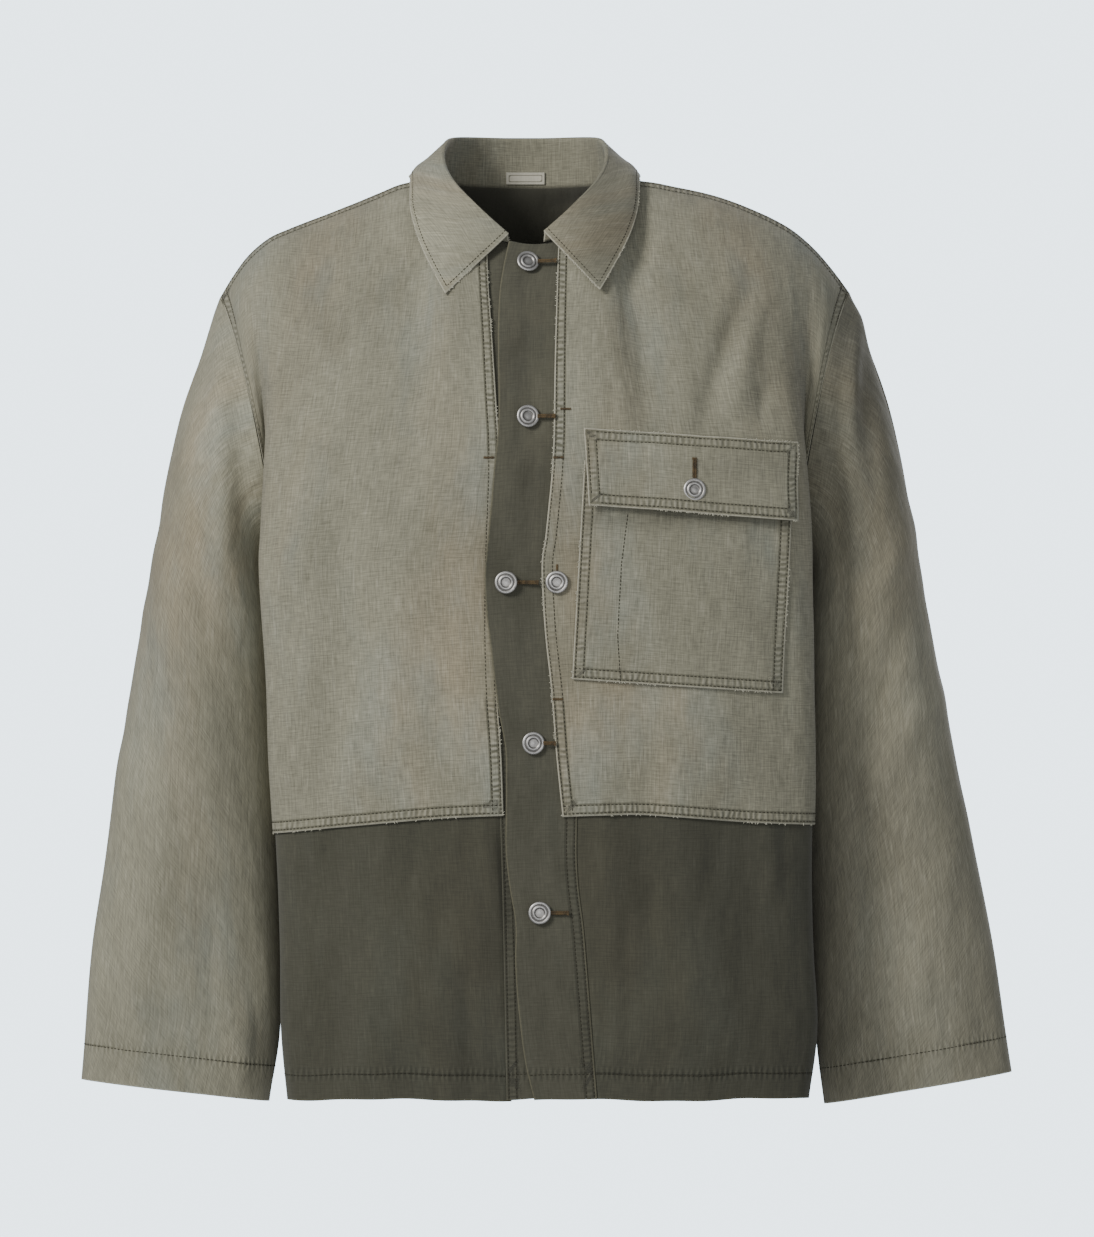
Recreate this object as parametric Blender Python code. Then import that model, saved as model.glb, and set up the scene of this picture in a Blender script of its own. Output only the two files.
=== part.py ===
"""Hollow, filled-out work jacket of washed light panels lapped over dark ones, held at the shoulders.

Every size is in millimetres, +Z up, the front facing -Y; the origin is where the shoulders carry it.
A side of -1 is the wearer's right, which is at -X.
"""

import math
from bisect import bisect_right
from functools import lru_cache

import bpy
import numpy as np

MM = 0.001
CLOTH = 1.2  # wall of every cloth piece
SEAM_GAP = 0.45  # each panel stops this short of its seam line
PITCH = 2.0  # one lapped layer to the next, wall and air
POCKET_LIFT = 2.3

HEM = -714.0
UNDERARM = -300.0
LAP_RISE = 12.0 / (UNDERARM - HEM)  # how far a dark piece reaches under a light one
NEAR = 0.004  # step of place or rise that gives a slope

# height, wearer's right edge, wearer's left edge, front depth, back depth
BODY = (
    (HEM, -194.5, 215.0, 112.0, 104.0),
    (-685.0, -197.0, 219.0, 114.0, 105.0),
    (-660.0, -198.7, 221.0, 116.0, 106.0),
    (-607.0, -199.8, 219.5, 119.0, 108.0),
    (-529.0, -203.0, 217.8, 123.0, 110.0),
    (-455.0, -206.7, 216.8, 126.0, 112.0),
    (-381.0, -209.4, 217.0, 128.0, 115.0),
    (UNDERARM, -215.0, 216.5, 128.0, 119.0),
)
SQUARENESS = 3.1  # power of the body's rounded section
SIDE_HOLLOW = 50.0  # how far the side seam sits inside the body's widest line
HOLLOW_TURN = (math.radians(45), math.radians(90))  # the hollow starts and is full here
SECTION_STEPS = 60
# columns of every body panel outside the neck, as places across it
COLUMNS = (0.32, 0.4, 0.47, 0.53, 0.58, 0.63, 0.68, 0.73, 0.79, 0.86, 0.93, 1.0)
LOW_ROWS = 4
HIGH_ROWS = 11
CENTRE_COLUMNS = 3
SEAM_BACK = 12.0  # the side seam and underarm, behind the middle

NECK_X = -8.0
NECK_HALF = 72.0
NECK_FRONT = 62.0
NECK_BACK = 84.0
NECK_LOW = -48.0  # middle of the front neckline
NECK_HIGH = 3.0  # where the neckline meets the shoulder seam
NECK_NAPE = 0.5
NECK_SHARE = 0.32  # share of a panel's top edge that is neckline
SEAM_FORWARD = -10.0  # the shoulder seam lies this far to the front at the neck

# the shoulder line: distance out, height
SHOULDER = {
    -1: ((80.0, 3.0), (91.0, 3.9), (109.0, -1.6), (137.0, -13.0), (165.0, -24.0), (193.5, -35.0),
         (214.0, -45.2), (228.0, -59.4), (239.5, -75.8), (247.0, -88.5)),
    1: ((64.0, 3.0), (77.0, 3.6), (109.0, -1.8), (141.0, -8.9), (171.0, -19.8), (199.3, -34.0),
        (219.0, -50.4), (229.5, -62.0), (246.5, -84.5)),
}
# place on the top edge, then how the cloth arrives there: outward, forward to back, upward
FRONT_ARRIVES = ((0.0, 0, 130, 200), (0.32, 0, 240, 120), (0.7, 5, 270, 100), (0.9, 15, 270, 110),
                 (1.0, 60, 250, 110))
BACK_ARRIVES = ((0.0, 0, -160, 190), (0.32, 0, -280, 50), (0.7, 5, -290, 30), (0.9, 15, -270, 80),
                (1.0, 50, -210, 110))
RISE = 240.0  # pull of the cloth straight up from the underarm line
LEAN = {True: -20.0, False: 10.0}  # and out to the front or the back with it
ARMHOLE_START = {True: (5, -260, 110), False: (5, 236, 110)}  # the same beside the armhole
BESIDE_ARMHOLE = (0.86, 1.0)  # places

# share down the sleeve, outer line out and up, inner line out and up, half depth
SLEEVE = {
    -1: ((0.0, -307.5, -338.0, -208.1, -348.0, 66.0), (0.35, -327.7, -455.9, -205.1, -464.9, 58.0),
         (0.7, -344.9, -581.8, -201.1, -591.9, 45.0), (0.9, -353.2, -668.5, -202.6, -678.6, 37.0),
         (1.0, -356.2, -702.0, -209.1, -719.0, 35.0)),
    1: ((0.0, 309.2, -338.0, 211.5, -348.0, 66.0), (0.35, 329.8, -450.8, 212.5, -460.9, 58.0),
        (0.7, 355.5, -576.8, 217.6, -586.9, 45.0), (0.9, 369.5, -664.4, 223.1, -678.6, 37.0),
        (1.0, 374.6, -696.0, 228.4, -721.0, 35.0)),
}
SLEEVE_BACK = 16.0  # middle of the sleeve, behind the body's middle
SLEEVE_ROUND = 0.9  # below 1 the sleeve's section is a little squarer than an oval
CAP_ROWS = 6
ARM_ROWS = 8

# the edges of the lapped pieces in front view: height, out
LIGHT_RIGHT_EDGE = ((-40.0, -36.7), (-68.6, -36.7), (-126.0, -32.8), (-185.0, -29.0), (-217.0, -27.3),
                    (-300.0, -30.0), (-380.0, -30.0), (-444.0, -26.0), (-500.0, -24.0))
LIGHT_LEFT_EDGE = ((-40.0, 18.5), (-57.7, 17.9), (-133.0, 15.6), (-214.5, 14.0), (-240.0, 11.7),
                   (-272.0, 8.6), (-305.0, 4.7), (-315.0, 4.7), (-341.0, 7.0), (-370.0, 9.4),
                   (-402.5, 13.3), (-456.0, 17.2), (-480.5, 18.7), (-494.0, 21.5))
STRIP_OUTER = ((-44.0, -17.0), (-58.5, -22.6), (-83.5, -27.3), (-116.0, -28.9), (-191.0, -28.5),
               (-235.0, -32.8), (-266.0, -35.1), (-298.0, -38.5), (-324.0, -38.5), (-354.0, -35.1),
               (-382.0, -32.0), (-427.5, -25.7), (-444.0, -22.6), (-515.0, -22.6), (-541.0, -21.0),
               (-570.0, -15.2), (-607.0, -15.2), (-651.0, -12.0), (-696.0, -5.5), (-716.0, 0.0))
STRIP_SEAM = ((-44.0, 26.0), (-300.0, 29.0), (-494.0, 32.8), (-537.0, 32.8), (-576.0, 37.4),
              (-716.0, 48.5))
STRIP_RAMP = (-26.0, 12.0)  # the strip sinks from over one panel to under the other here
STRIP_SETTLES = (480.0, 560.0)  # and down onto the dark piece here, below the light ones
NECK_SINK = 1.3
NECK_SINKS = (-170.0, -60.0)
STRIP_TURN = -75.0  # above this height a strip's rows turn to the neckline
STRIP_TURN_SHARE = 0.9
STRIP_LOW = -714.0
UNDER_LOW = -713.0
STRIP_TOP = (-0.035, 0.13)  # places of a strip's ends on the neckline
UNDER_TOP = (-0.13, 0.115)
UNDER_OUTER = ((-44.0, -46.0), (-500.0, -27.0), (-716.0, -22.0))
UNDER_INNER = ((-44.0, 20.0), (-500.0, 20.0), (-716.0, 26.0))
LIGHT_BOTTOM = {-1: ((-200.0, -507.0), (-144.0, -501.5), (-74.0, -495.3), (-22.0, -493.0)),
                1: ((20.0, -494.0), (81.0, -492.4), (168.0, -498.5), (217.0, -500.4))}

# collar, by angle round the neck from the nape: roll line height
ROLL = ((0, 38.5), (60, 37.5), (80, 30.5), (100, 17.0), (122, 1.0), (142, -14.0), (156, -27.0),
        (172, -43.0))
STAND_LEAST = 2.6
ROLL_HALF = 65.0
ROLL_MIDDLE = 4.0  # behind the shoulder seam
ROLL_REACH = {True: 68.0, False: 78.0}  # to the front, to the back
# the collar's outer edge, by share from nape to point: out, back, up
FALL = {
    -1: ((0.0, -8.0, 92.0, -10.0), (0.28, -80.0, 66.0, -9.0), (0.5, -97.0, 14.0, 8.5),
         (0.62, -97.5, -24.0, -1.5), (0.74, -97.0, -52.0, -22.0), (0.87, -87.5, -80.0, -53.0),
         (1.0, -69.7, -99.0, -87.8)),
    1: ((0.0, -8.0, 92.0, -10.0), (0.28, 62.0, 66.0, -9.0), (0.5, 80.5, 14.0, 9.0),
        (0.62, 81.5, -26.0, 0.5), (0.74, 80.0, -53.0, -21.0), (0.87, 71.5, -79.0, -47.0),
        (1.0, 50.7, -100.0, -85.0)),
}
COLLAR_ENDS = {-1: 170.0, 1: 168.0}
ROLL_GAP = 1.8
STRAIGHT = (0.7, 1.0)  # shares between which the fall's columns come to run straight, as its front edge does
COLLAR_LIFT = 1.9  # the stand starts this far above the neckline
COLLAR_HALF = 15  # columns each side
FACING = 0.7  # the front turns away from view beyond this place
FRONT_HALF = 260.0  # about the cloth's length from the centre to the side
FRONT_HIGH = 255.0  # about the height from the underarm to the top

POCKET = ((28.8, -387.0), (191.6, -398.0), (199.7, -222.0), (38.2, -217.5))
FLAP = ((41.3, -252.5), (200.5, -265.0), (202.8, -203.6), (37.7, -192.5))
FLAP_STEP = (196.0, 216.0)  # the flap's top seam lies below the first, the pocket under it from the second
LABEL = (-22.8, 7.6, 3.1, 12.5)
LABEL_WALL = 1.0

BUTTON_RADIUS = 8.9
BUTTON_GAP = 0.5
BUTTON_SIDES = 16
# radius, height from the cloth
BUTTON_PROFILE = ((5.5, 0.0), (8.7, 0.9), (8.9, 1.9), (7.6, 2.8), (5.6, 2.4), (4.6, 2.9), (3.4, 2.2))
STRIP_BUTTONS = ((-5.8, -62.9), (-5.8, -183.5), (-22.4, -312.0), (-1.4, -436.5), (3.7, -568.2))
EDGE_BUTTON = (17.1, -311.8)
FLAP_BUTTON = (123.0, -240.9)


def hermite(start, leave, end, arrive, u):
    """Smooth curve between two points with given directions at its ends."""
    square = u * u
    cube = square * u
    return (start * (2 * cube - 3 * square + 1) + leave * (cube - 2 * square + u)
            + end * (3 * square - 2 * cube) + arrive * (cube - square))


def ease(value, start, end):
    """Smooth step from 0 at start to 1 at end."""
    share = min(max((value - start) / (end - start), 0.0), 1.0)
    return share * share * (3.0 - 2.0 * share)


def through(stops, at):
    """Smooth curve through stops, each a place and its values."""
    if stops[0][0] > stops[-1][0]:
        stops = stops[::-1]
    places = [stop[0] for stop in stops]
    values = [np.array(stop[1:], float) for stop in stops]
    at = min(max(at, places[0]), places[-1])
    k = min(max(bisect_right(places, at) - 1, 0), len(places) - 2)
    span = places[k + 1] - places[k]

    def slope(i):
        low, high = max(i - 1, 0), min(i + 1, len(places) - 1)
        return (values[high] - values[low]) / (places[high] - places[low])

    return hermite(values[k], slope(k) * span, values[k + 1], slope(k + 1) * span,
                   (at - places[k]) / span)


@lru_cache(maxsize=None)
def shoulder_stops(side):
    """The shoulder line's points by their share of its length."""
    line = np.array(SHOULDER[side])
    length = np.concatenate([[0], np.cumsum(np.linalg.norm(np.diff(line, axis=0), axis=1))])
    return tuple((share, *point) for share, point in zip(length / length[-1], line))


@lru_cache(maxsize=None)
def quarter(height, front):
    """Section of one quarter of the body at a height: share of its length, out, back, and the middle."""
    low, high, ahead, behind = through(BODY, height)
    half = (high - low) / 2
    depth = ahead + SEAM_BACK if front else behind - SEAM_BACK
    turn = np.linspace(0, math.pi / 2, SECTION_STEPS + 1)
    out = np.sin(turn) ** (2 / SQUARENESS)
    back = np.cos(turn) ** (2 / SQUARENESS) * depth
    hollow = np.array([SIDE_HOLLOW * ease(t, *HOLLOW_TURN) for t in turn])
    width = half
    for _ in range(12):  # widened until the hollowed section is as wide as the body
        width += half - (out * width - hollow).max()
    out = out * width - hollow
    back = SEAM_BACK + (-back if front else back)
    step = np.hypot(np.diff(out), np.diff(back))
    length = np.concatenate([[0], np.cumsum(step)])
    return length / length[-1], out, back, (low + high) / 2


def body_section(place, height, front):
    """A point of the body's tube below the underarm; place runs from -1 to 1 across."""
    share, out, back, middle = quarter(round(height, 3), front)
    side = -1 if place < 0 else 1
    return np.array([middle + side * np.interp(abs(place), share, out),
                     np.interp(abs(place), share, back), height])


def top_edge(place, front):
    """A point of the neckline or of the shoulder seam."""
    side = -1 if place < 0 else 1
    share = abs(place)
    if share <= NECK_SHARE:
        turn = share / NECK_SHARE * math.pi / 2
        drop = math.cos(turn)
        low = NECK_LOW if front else NECK_NAPE
        reach = -NECK_FRONT if front else NECK_BACK
        return np.array([NECK_X + side * NECK_HALF * math.sin(turn), SEAM_FORWARD + reach * drop,
                         NECK_HIGH + (low - NECK_HIGH) * drop ** 1.5])
    along = (share - NECK_SHARE) / (1 - NECK_SHARE)
    out, up = through(shoulder_stops(side), along)
    return np.array([side * out, SEAM_FORWARD * (1 - along) + SEAM_BACK * 0.4 * along, up])


@lru_cache(maxsize=None)
def surface(place, rise, front):
    """The body's cloth: rise is 0 at the hem, 1 at the underarm and 2 at the top edge."""
    if rise <= 1:
        return body_section(place, HEM + (UNDERARM - HEM) * rise, front)
    side = -1 if place < 0 else 1
    share = abs(place)
    start = body_section(place, UNDERARM, front)
    end = top_edge(place, front)
    edge = ease(share, *BESIDE_ARMHOLE)
    leave = np.array([0.0, LEAN[front], RISE]) * (1 - edge) + np.array(ARMHOLE_START[front], float) * edge
    arrive = through(FRONT_ARRIVES if front else BACK_ARRIVES, share)
    outward = np.array([side, 1, 1])
    return hermite(start, leave * outward, end, arrive * outward, rise - 1)


def moved_out(place, rise, offset, front=True):
    """A point of the body's cloth moved out along its normal."""
    low, high = max(place - NEAR, -1.0), min(place + NEAR, 1.0)
    down, up = max(rise - NEAR, 0.0), min(rise + NEAR, 2.0)
    across = surface(high, rise, front) - surface(low, rise, front)
    along = surface(place, up, front) - surface(place, down, front)
    normal = np.cross(across, along)
    normal /= np.linalg.norm(normal)
    if not front:
        normal = -normal
    return surface(place, rise, front) + normal * offset


@lru_cache(maxsize=None)
def locate(out, height):
    """The place and rise of the front's point that shows at this spot in front view."""
    place, rise = out / FRONT_HALF, rise_of(height)
    if rise > 1:
        rise = 1 + (height - UNDERARM) / FRONT_HIGH
    tiny = 0.001
    for _ in range(25):
        rise = min(max(rise, 0.0), 1.995)
        here = surface(place, rise, True)
        miss = np.array([out - here[0], height - here[2]])
        if abs(miss).max() < 0.01:
            break
        sideways = (surface(place + tiny, rise, True) - here)[[0, 2]] / tiny
        upward = (surface(place, rise + tiny, True) - here)[[0, 2]] / tiny
        change = np.linalg.solve(np.array([sideways, upward]).T, miss)
        place = min(max(place + change[0], -FACING), FACING)
        rise += change[1]
    return place, rise


def on_front(out, height, offset):
    return moved_out(*locate(round(out, 3), round(height, 3)), offset)


def inset(grid, edges):
    """Pull the edges that meet a seam back by the seam gap."""
    grid = grid.copy()
    pairs = {"left": (np.s_[:, 0], np.s_[:, 1]), "right": (np.s_[:, -1], np.s_[:, -2]),
             "bottom": (np.s_[0], np.s_[1]), "top": (np.s_[-1], np.s_[-2])}
    for edge in edges:
        rim, inner = pairs[edge]
        step = grid[inner] - grid[rim]
        grid[rim] += step / np.linalg.norm(step, axis=-1, keepdims=True) * SEAM_GAP
    return grid


def grid_normals(grid, ring):
    """A normal for each point of a grid of points, rows by columns."""
    if ring:
        across = np.roll(grid, -1, axis=1) - np.roll(grid, 1, axis=1)
    else:
        across = np.gradient(grid, axis=1)
    normal = np.cross(across, np.gradient(grid, axis=0))
    return normal / np.linalg.norm(normal, axis=-1, keepdims=True)


def material(name, colour, roughness, metallic=0.0):
    made = bpy.data.materials.new(name)
    made.use_nodes = True
    shader = made.node_tree.nodes["Principled BSDF"]
    shader.inputs["Base Color"].default_value = (*colour, 1.0)
    shader.inputs["Roughness"].default_value = roughness
    shader.inputs["Metallic"].default_value = metallic
    return made


def mesh_object(name, points, faces, finish):
    mesh = bpy.data.meshes.new(name)
    mesh.from_pydata([tuple(point * MM) for point in points], [], faces)
    mesh.validate()
    for face in mesh.polygons:
        face.use_smooth = True
    mesh.materials.append(finish)
    made = bpy.data.objects.new(name, mesh)
    bpy.context.scene.collection.objects.link(made)
    return made


def cloth(name, grid, finish, ring=False, outward=1, wall=CLOTH):
    """A closed shell of cloth round a grid of middle points, open at its ends when it is a ring."""
    rows, columns = grid.shape[:2]
    normal = grid_normals(grid, ring) * outward
    points = np.concatenate([(grid + normal * wall / 2).reshape(-1, 3),
                             (grid - normal * wall / 2).reshape(-1, 3)])
    under = rows * columns
    faces = []
    spans = columns if ring else columns - 1
    for row in range(rows - 1):
        for column in range(spans):
            beside = (column + 1) % columns
            a, b = row * columns + column, row * columns + beside
            d, c = a + columns, b + columns
            faces += [(a, b, c, d), (under + a, under + d, under + c, under + b)]
    rims = []
    for column in range(spans):
        beside = (column + 1) % columns
        last = (rows - 1) * columns
        rims += [(column, beside, False), (last + column, last + beside, True)]
    if not ring:
        for row in range(rows - 1):
            rims += [(row * columns, (row + 1) * columns, True),
                     ((row + 1) * columns - 1, (row + 2) * columns - 1, False)]
    for a, b, flip in rims:
        side = (a, under + a, under + b, b)
        faces.append(side[::-1] if flip else side)
    if outward < 0:
        faces = [face[::-1] for face in faces]
    return mesh_object(name, points, faces, finish)


def panel(front, places, rises, offset=0.0):
    """Grid over the body from the places and the rises of each of its rows."""
    return np.array([[moved_out(place, rise, offset, front) for place, rise in zip(*row)]
                     for row in zip(places, rises)])


def rise_of(height):
    return (height - HEM) / (UNDERARM - HEM)


def row_places(start, side):
    """Places across a front panel's row, from its centre edge; the last ones are every panel's."""
    step = (side * COLUMNS[0] - start) / CENTRE_COLUMNS
    return [start + step * k for k in range(CENTRE_COLUMNS)] + [side * place for place in COLUMNS]


def back_places():
    step = COLUMNS[0] / CENTRE_COLUMNS
    inner = [step * k for k in range(1 - CENTRE_COLUMNS, CENTRE_COLUMNS)]
    return [-place for place in COLUMNS[::-1]] + inner + list(COLUMNS)


def light_rows():
    """Shares of the rows of the light panels: to 1 at the underarm, then to 2 at the top edge."""
    return [k / LOW_ROWS for k in range(LOW_ROWS)] + [1 + k / HIGH_ROWS for k in range(HIGH_ROWS + 1)]


def light_bottom(place, front):
    """Rise of the light panels' lower edge."""
    if not front:
        low, high = LIGHT_BOTTOM[-1][0][1], LIGHT_BOTTOM[1][-1][1]
        return rise_of(low + (high - low) * (place + 1) / 2)
    stops = LIGHT_BOTTOM[-1 if place < 0 else 1]
    return rise_of(through(stops, surface(place, 0.5, True)[0])[0])


def light_rises(places, share, front):
    if share > 1:
        return [share] * len(places)
    lows = [light_bottom(place, front) for place in places]
    return [low + (1 - low) * share for low in lows]


def front_light(side):
    """Places and rises of a light front panel, from its centre edge to its side."""
    stops = LIGHT_RIGHT_EDGE if side < 0 else LIGHT_LEFT_EDGE
    low = light_bottom(side * 0.08, True)
    places, rises = [], []
    for share in light_rows():
        start = centre_place(stops, low + (1 - low) * share if share < 1 else share)
        places.append(row_places(start, side))
        rises.append(light_rises(places[-1], share, True))
    return places, rises


def centre_place(stops, rise):
    """The place along a row where an edge given in front view crosses it."""
    place = 0.0
    for _ in range(30):
        here = surface(place, rise, True)
        miss = through(stops, here[2])[0] - here[0]
        place += miss / FRONT_HALF
        if abs(miss) < 0.01:
            break
    return place


def strip_lift(out, height):
    """How far the button strip stands off the light panels' layer: over one, under the other."""
    over = PITCH * (1 - ease(-height, *STRIP_SETTLES))
    return over - (over + PITCH + neck_sink(height)) * ease(out, *STRIP_RAMP)


def neck_sink(height):
    """The strips lie a little deeper where the front curves in to the neck."""
    return NECK_SINK * ease(height, *NECK_SINKS)


def under_lift(out, height):
    """How far the under strip stands off the light panels' layer."""
    return -PITCH - (PITCH + neck_sink(height)) * ease(out, *STRIP_RAMP)


def fitted_strip(outer, inner, columns, rows, low, lift, top_places):
    """A strip whose top edge is the neckline and whose lift changes across it."""
    grid = []
    for j in range(rows + 1):
        share = j / rows
        height = low + (STRIP_TURN - low) * min(share / STRIP_TURN_SHARE, 1.0)
        start, end = through(outer, height)[0], through(inner, height)[0]
        turned = max(share - STRIP_TURN_SHARE, 0.0) / (1 - STRIP_TURN_SHARE)
        row = []
        for k in range(columns + 1):
            across = k / columns
            place, rise = locate(round(start + (end - start) * across, 3), round(height, 3))
            place += (top_places[0] + (top_places[1] - top_places[0]) * across - place) * turned
            rise += (2 - rise) * turned
            here = surface(place, rise, True)
            row.append(moved_out(place, rise, lift(here[0], here[2])))
        grid.append(row)
    return np.array(grid)


def quad_grid(corners, columns, rows, offset):
    """Grid of a four-cornered patch on the front, from its lower corners up."""
    low_left, low_right, high_right, high_left = (np.array(corner) for corner in corners)
    grid = []
    for j in range(rows + 1):
        up = j / rows
        start, end = low_left + (high_left - low_left) * up, low_right + (high_right - low_right) * up
        row = [start + (end - start) * k / columns for k in range(columns + 1)]
        grid.append([on_front(out, height, offset(out, height)) for out, height in row])
    return np.array(grid)


def armhole(side, turn):
    """The armhole seam, by turn: 0 at the shoulder, a half at the underarm, through the front."""
    if turn <= 0.5:
        return surface(float(side), 2 - 2 * turn, True)
    return surface(float(side), 2 * turn, False)


def sleeve_ring(side, share, turn):
    out_x, out_z, in_x, in_z, depth = through(SLEEVE[side], share)
    angle = turn * 2 * math.pi
    cos, sin = math.cos(angle), math.sin(angle)
    across = math.copysign(abs(cos) ** SLEEVE_ROUND, cos)
    round_y = math.copysign(abs(sin) ** SLEEVE_ROUND, sin)
    middle_x, middle_z = (out_x + in_x) / 2, (out_z + in_z) / 2
    return np.array([middle_x + (out_x - in_x) / 2 * across, SLEEVE_BACK - depth * round_y,
                     middle_z + (out_z - in_z) / 2 * across])


def sleeve_point(side, turn, down):
    """The sleeve's cloth: down is 0 at the armhole, 1 below the cap and 2 at the cuff."""
    if down >= 1:
        return sleeve_ring(side, down - 1, turn)
    start, end = armhole(side, turn), sleeve_ring(side, 0.0, turn)
    seam = armhole(side, (turn + NEAR) % 1.0) - armhole(side, (turn - NEAR) % 1.0)
    seam /= np.linalg.norm(seam)
    under = math.sin(math.pi * turn) ** 2  # 0 on the shoulder, 1 in the underarm
    hang = np.array([side * (0.38 + 0.57 * under), 0.0, -0.92 + 0.63 * under])
    start = start + np.array([side * 1.1 * under, 0.0, 0.0])
    leave = hang - seam * np.dot(hang, seam) * 0.85
    leave /= np.linalg.norm(leave)
    arrive = sleeve_ring(side, 0.05, turn) - end
    arrive /= np.linalg.norm(arrive)
    reach = np.linalg.norm(end - start)
    return hermite(start, leave * reach, end, arrive * reach, down)


def sleeve_grid(side):
    """A sleeve from armhole to cuff; its columns at the armhole are the body's rows there."""
    around = 2 * HIGH_ROWS
    downs = [k / CAP_ROWS for k in range(CAP_ROWS)] + [1 + k / ARM_ROWS for k in range(ARM_ROWS + 1)]
    grid = [[sleeve_point(side, k / around, down) for k in range(around)] for down in downs]
    return inset(np.array(grid), ["bottom"])


def neck_point(side, angle):
    """The neckline at an angle round the neck from the nape."""
    share = math.degrees(math.asin(min(1.0, math.sin(math.radians(angle))))) / 90 * NECK_SHARE
    return top_edge(side * share, angle > 90)


def collar_column(side, share):
    """The collar's profile at a share from the nape to the front end: neck seam, roll, outer edge."""
    angle = COLLAR_ENDS[side] * share
    turn = math.radians(angle)
    seam = neck_point(side, angle) + np.array([0, 0, COLLAR_LIFT])
    roll_y = SEAM_FORWARD + ROLL_MIDDLE + ROLL_REACH[bool(angle >= 90)] * math.cos(turn)
    roll = np.array([NECK_X + side * ROLL_HALF * math.sin(turn) ** 0.9, roll_y,
                     through(ROLL, angle)[0]])
    roll[2] = max(roll[2], seam[2] + STAND_LEAST)
    outward = np.array([side * math.sin(turn), math.cos(turn) * 0.9 + 1e-6, 0.0])
    outward /= np.linalg.norm(outward)
    edge = through(FALL[side], share)
    points = [seam, seam + (roll - seam) * 0.55 - outward * 0.5]
    points += [roll - outward * ROLL_GAP - np.array([0, 0, 1.2]), roll + np.array([0, 0, 0.6]),
               roll + outward * ROLL_GAP - np.array([0, 0, 1.0])]
    start = points[-1]
    span = np.linalg.norm(edge - start)
    leave = (outward * 0.75 + np.array([0, 0, -0.66])) * span
    arrive = np.array([side * 0.2 * math.sin(turn), 0.25 * math.cos(turn), -0.95]) * span
    straight = ease(share, *STRAIGHT)
    leave, arrive = (way + (edge - start - way) * straight for way in (leave, arrive))
    points += [hermite(start, leave, edge, arrive, u) for u in (0.33, 0.66, 1.0)]
    return points


def collar_grid():
    columns = [collar_column(-1, k / COLLAR_HALF) for k in range(COLLAR_HALF, 0, -1)]
    columns += [collar_column(1, k / COLLAR_HALF) for k in range(COLLAR_HALF + 1)]
    return np.array(columns).transpose(1, 0, 2)


def label_grid(columns, rows):
    """The blank tab on the inner face of the collar's stand."""
    left, right, low, high = LABEL
    grid = []
    for j in range(rows + 1):
        height = low + (high - low) * j / rows
        row = []
        for k in range(columns + 1):
            out = left + (right - left) * k / columns
            side = -1 if out < NECK_X else 1
            share = math.degrees(math.asin(min(1, abs(out - NECK_X) / NECK_HALF))) / COLLAR_ENDS[side]
            low_point, high_point = collar_column(side, share)[:2]
            blend = (height - low_point[2]) / (high_point[2] - low_point[2])
            back = low_point[1] + (high_point[1] - low_point[1]) * blend
            row.append((out, back - CLOTH - SEAM_GAP, height))
        grid.append(row)
    return np.array(grid)


def button(name, middle, normal, finish):
    """A turned metal button with a rolled rim and a raised ring."""
    sides = BUTTON_SIDES
    across = np.cross(normal, (0, 0, 1.0))
    across /= np.linalg.norm(across)
    upward = np.cross(normal, across)
    points = [middle + normal * BUTTON_PROFILE[0][1]]
    for radius, height in BUTTON_PROFILE:
        for k in range(sides):
            angle = 2 * math.pi * k / sides
            points.append(middle + normal * height + radius * (across * math.cos(angle)
                                                               + upward * math.sin(angle)))
    points.append(middle + normal * BUTTON_PROFILE[-1][1])
    rings = len(BUTTON_PROFILE)
    faces = []
    for k in range(sides):
        beside = (k + 1) % sides
        faces.append((0, 1 + beside, 1 + k))
        for ring in range(rings - 1):
            a, b = 1 + ring * sides + k, 1 + ring * sides + beside
            faces.append((a, b, b + sides, a + sides))
        last = 1 + (rings - 1) * sides
        faces.append((last + k, last + beside, len(points) - 1))
    if np.dot(np.cross(across, upward), normal) < 0:
        faces = [face[::-1] for face in faces]
    return mesh_object(name, points, faces, finish)


def flap_lift(out, height):
    """The flap lies on the panel at its top seam and over the pocket below it."""
    return POCKET_LIFT * (1 + ease(-height, *FLAP_STEP))


def seat(out, height, lift):
    """Where a button rests on a piece lifted off the front, and the way it faces."""
    reach = BUTTON_RADIUS * 0.9
    middle = on_front(out, height, lift(out, height))
    spots = []
    for eighth in range(8):
        turn = eighth * math.pi / 4
        x, z = out + reach * math.cos(turn), height + reach * math.sin(turn)
        spots.append(on_front(x, z, lift(x, z)))
    normal = np.cross(spots[0] - spots[4], spots[2] - spots[6])
    normal /= np.linalg.norm(normal)
    proud = max(0.0, max(np.dot(spot - middle, normal) for spot in spots))
    return middle + normal * (proud + CLOTH / 2 + BUTTON_GAP), normal


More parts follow.
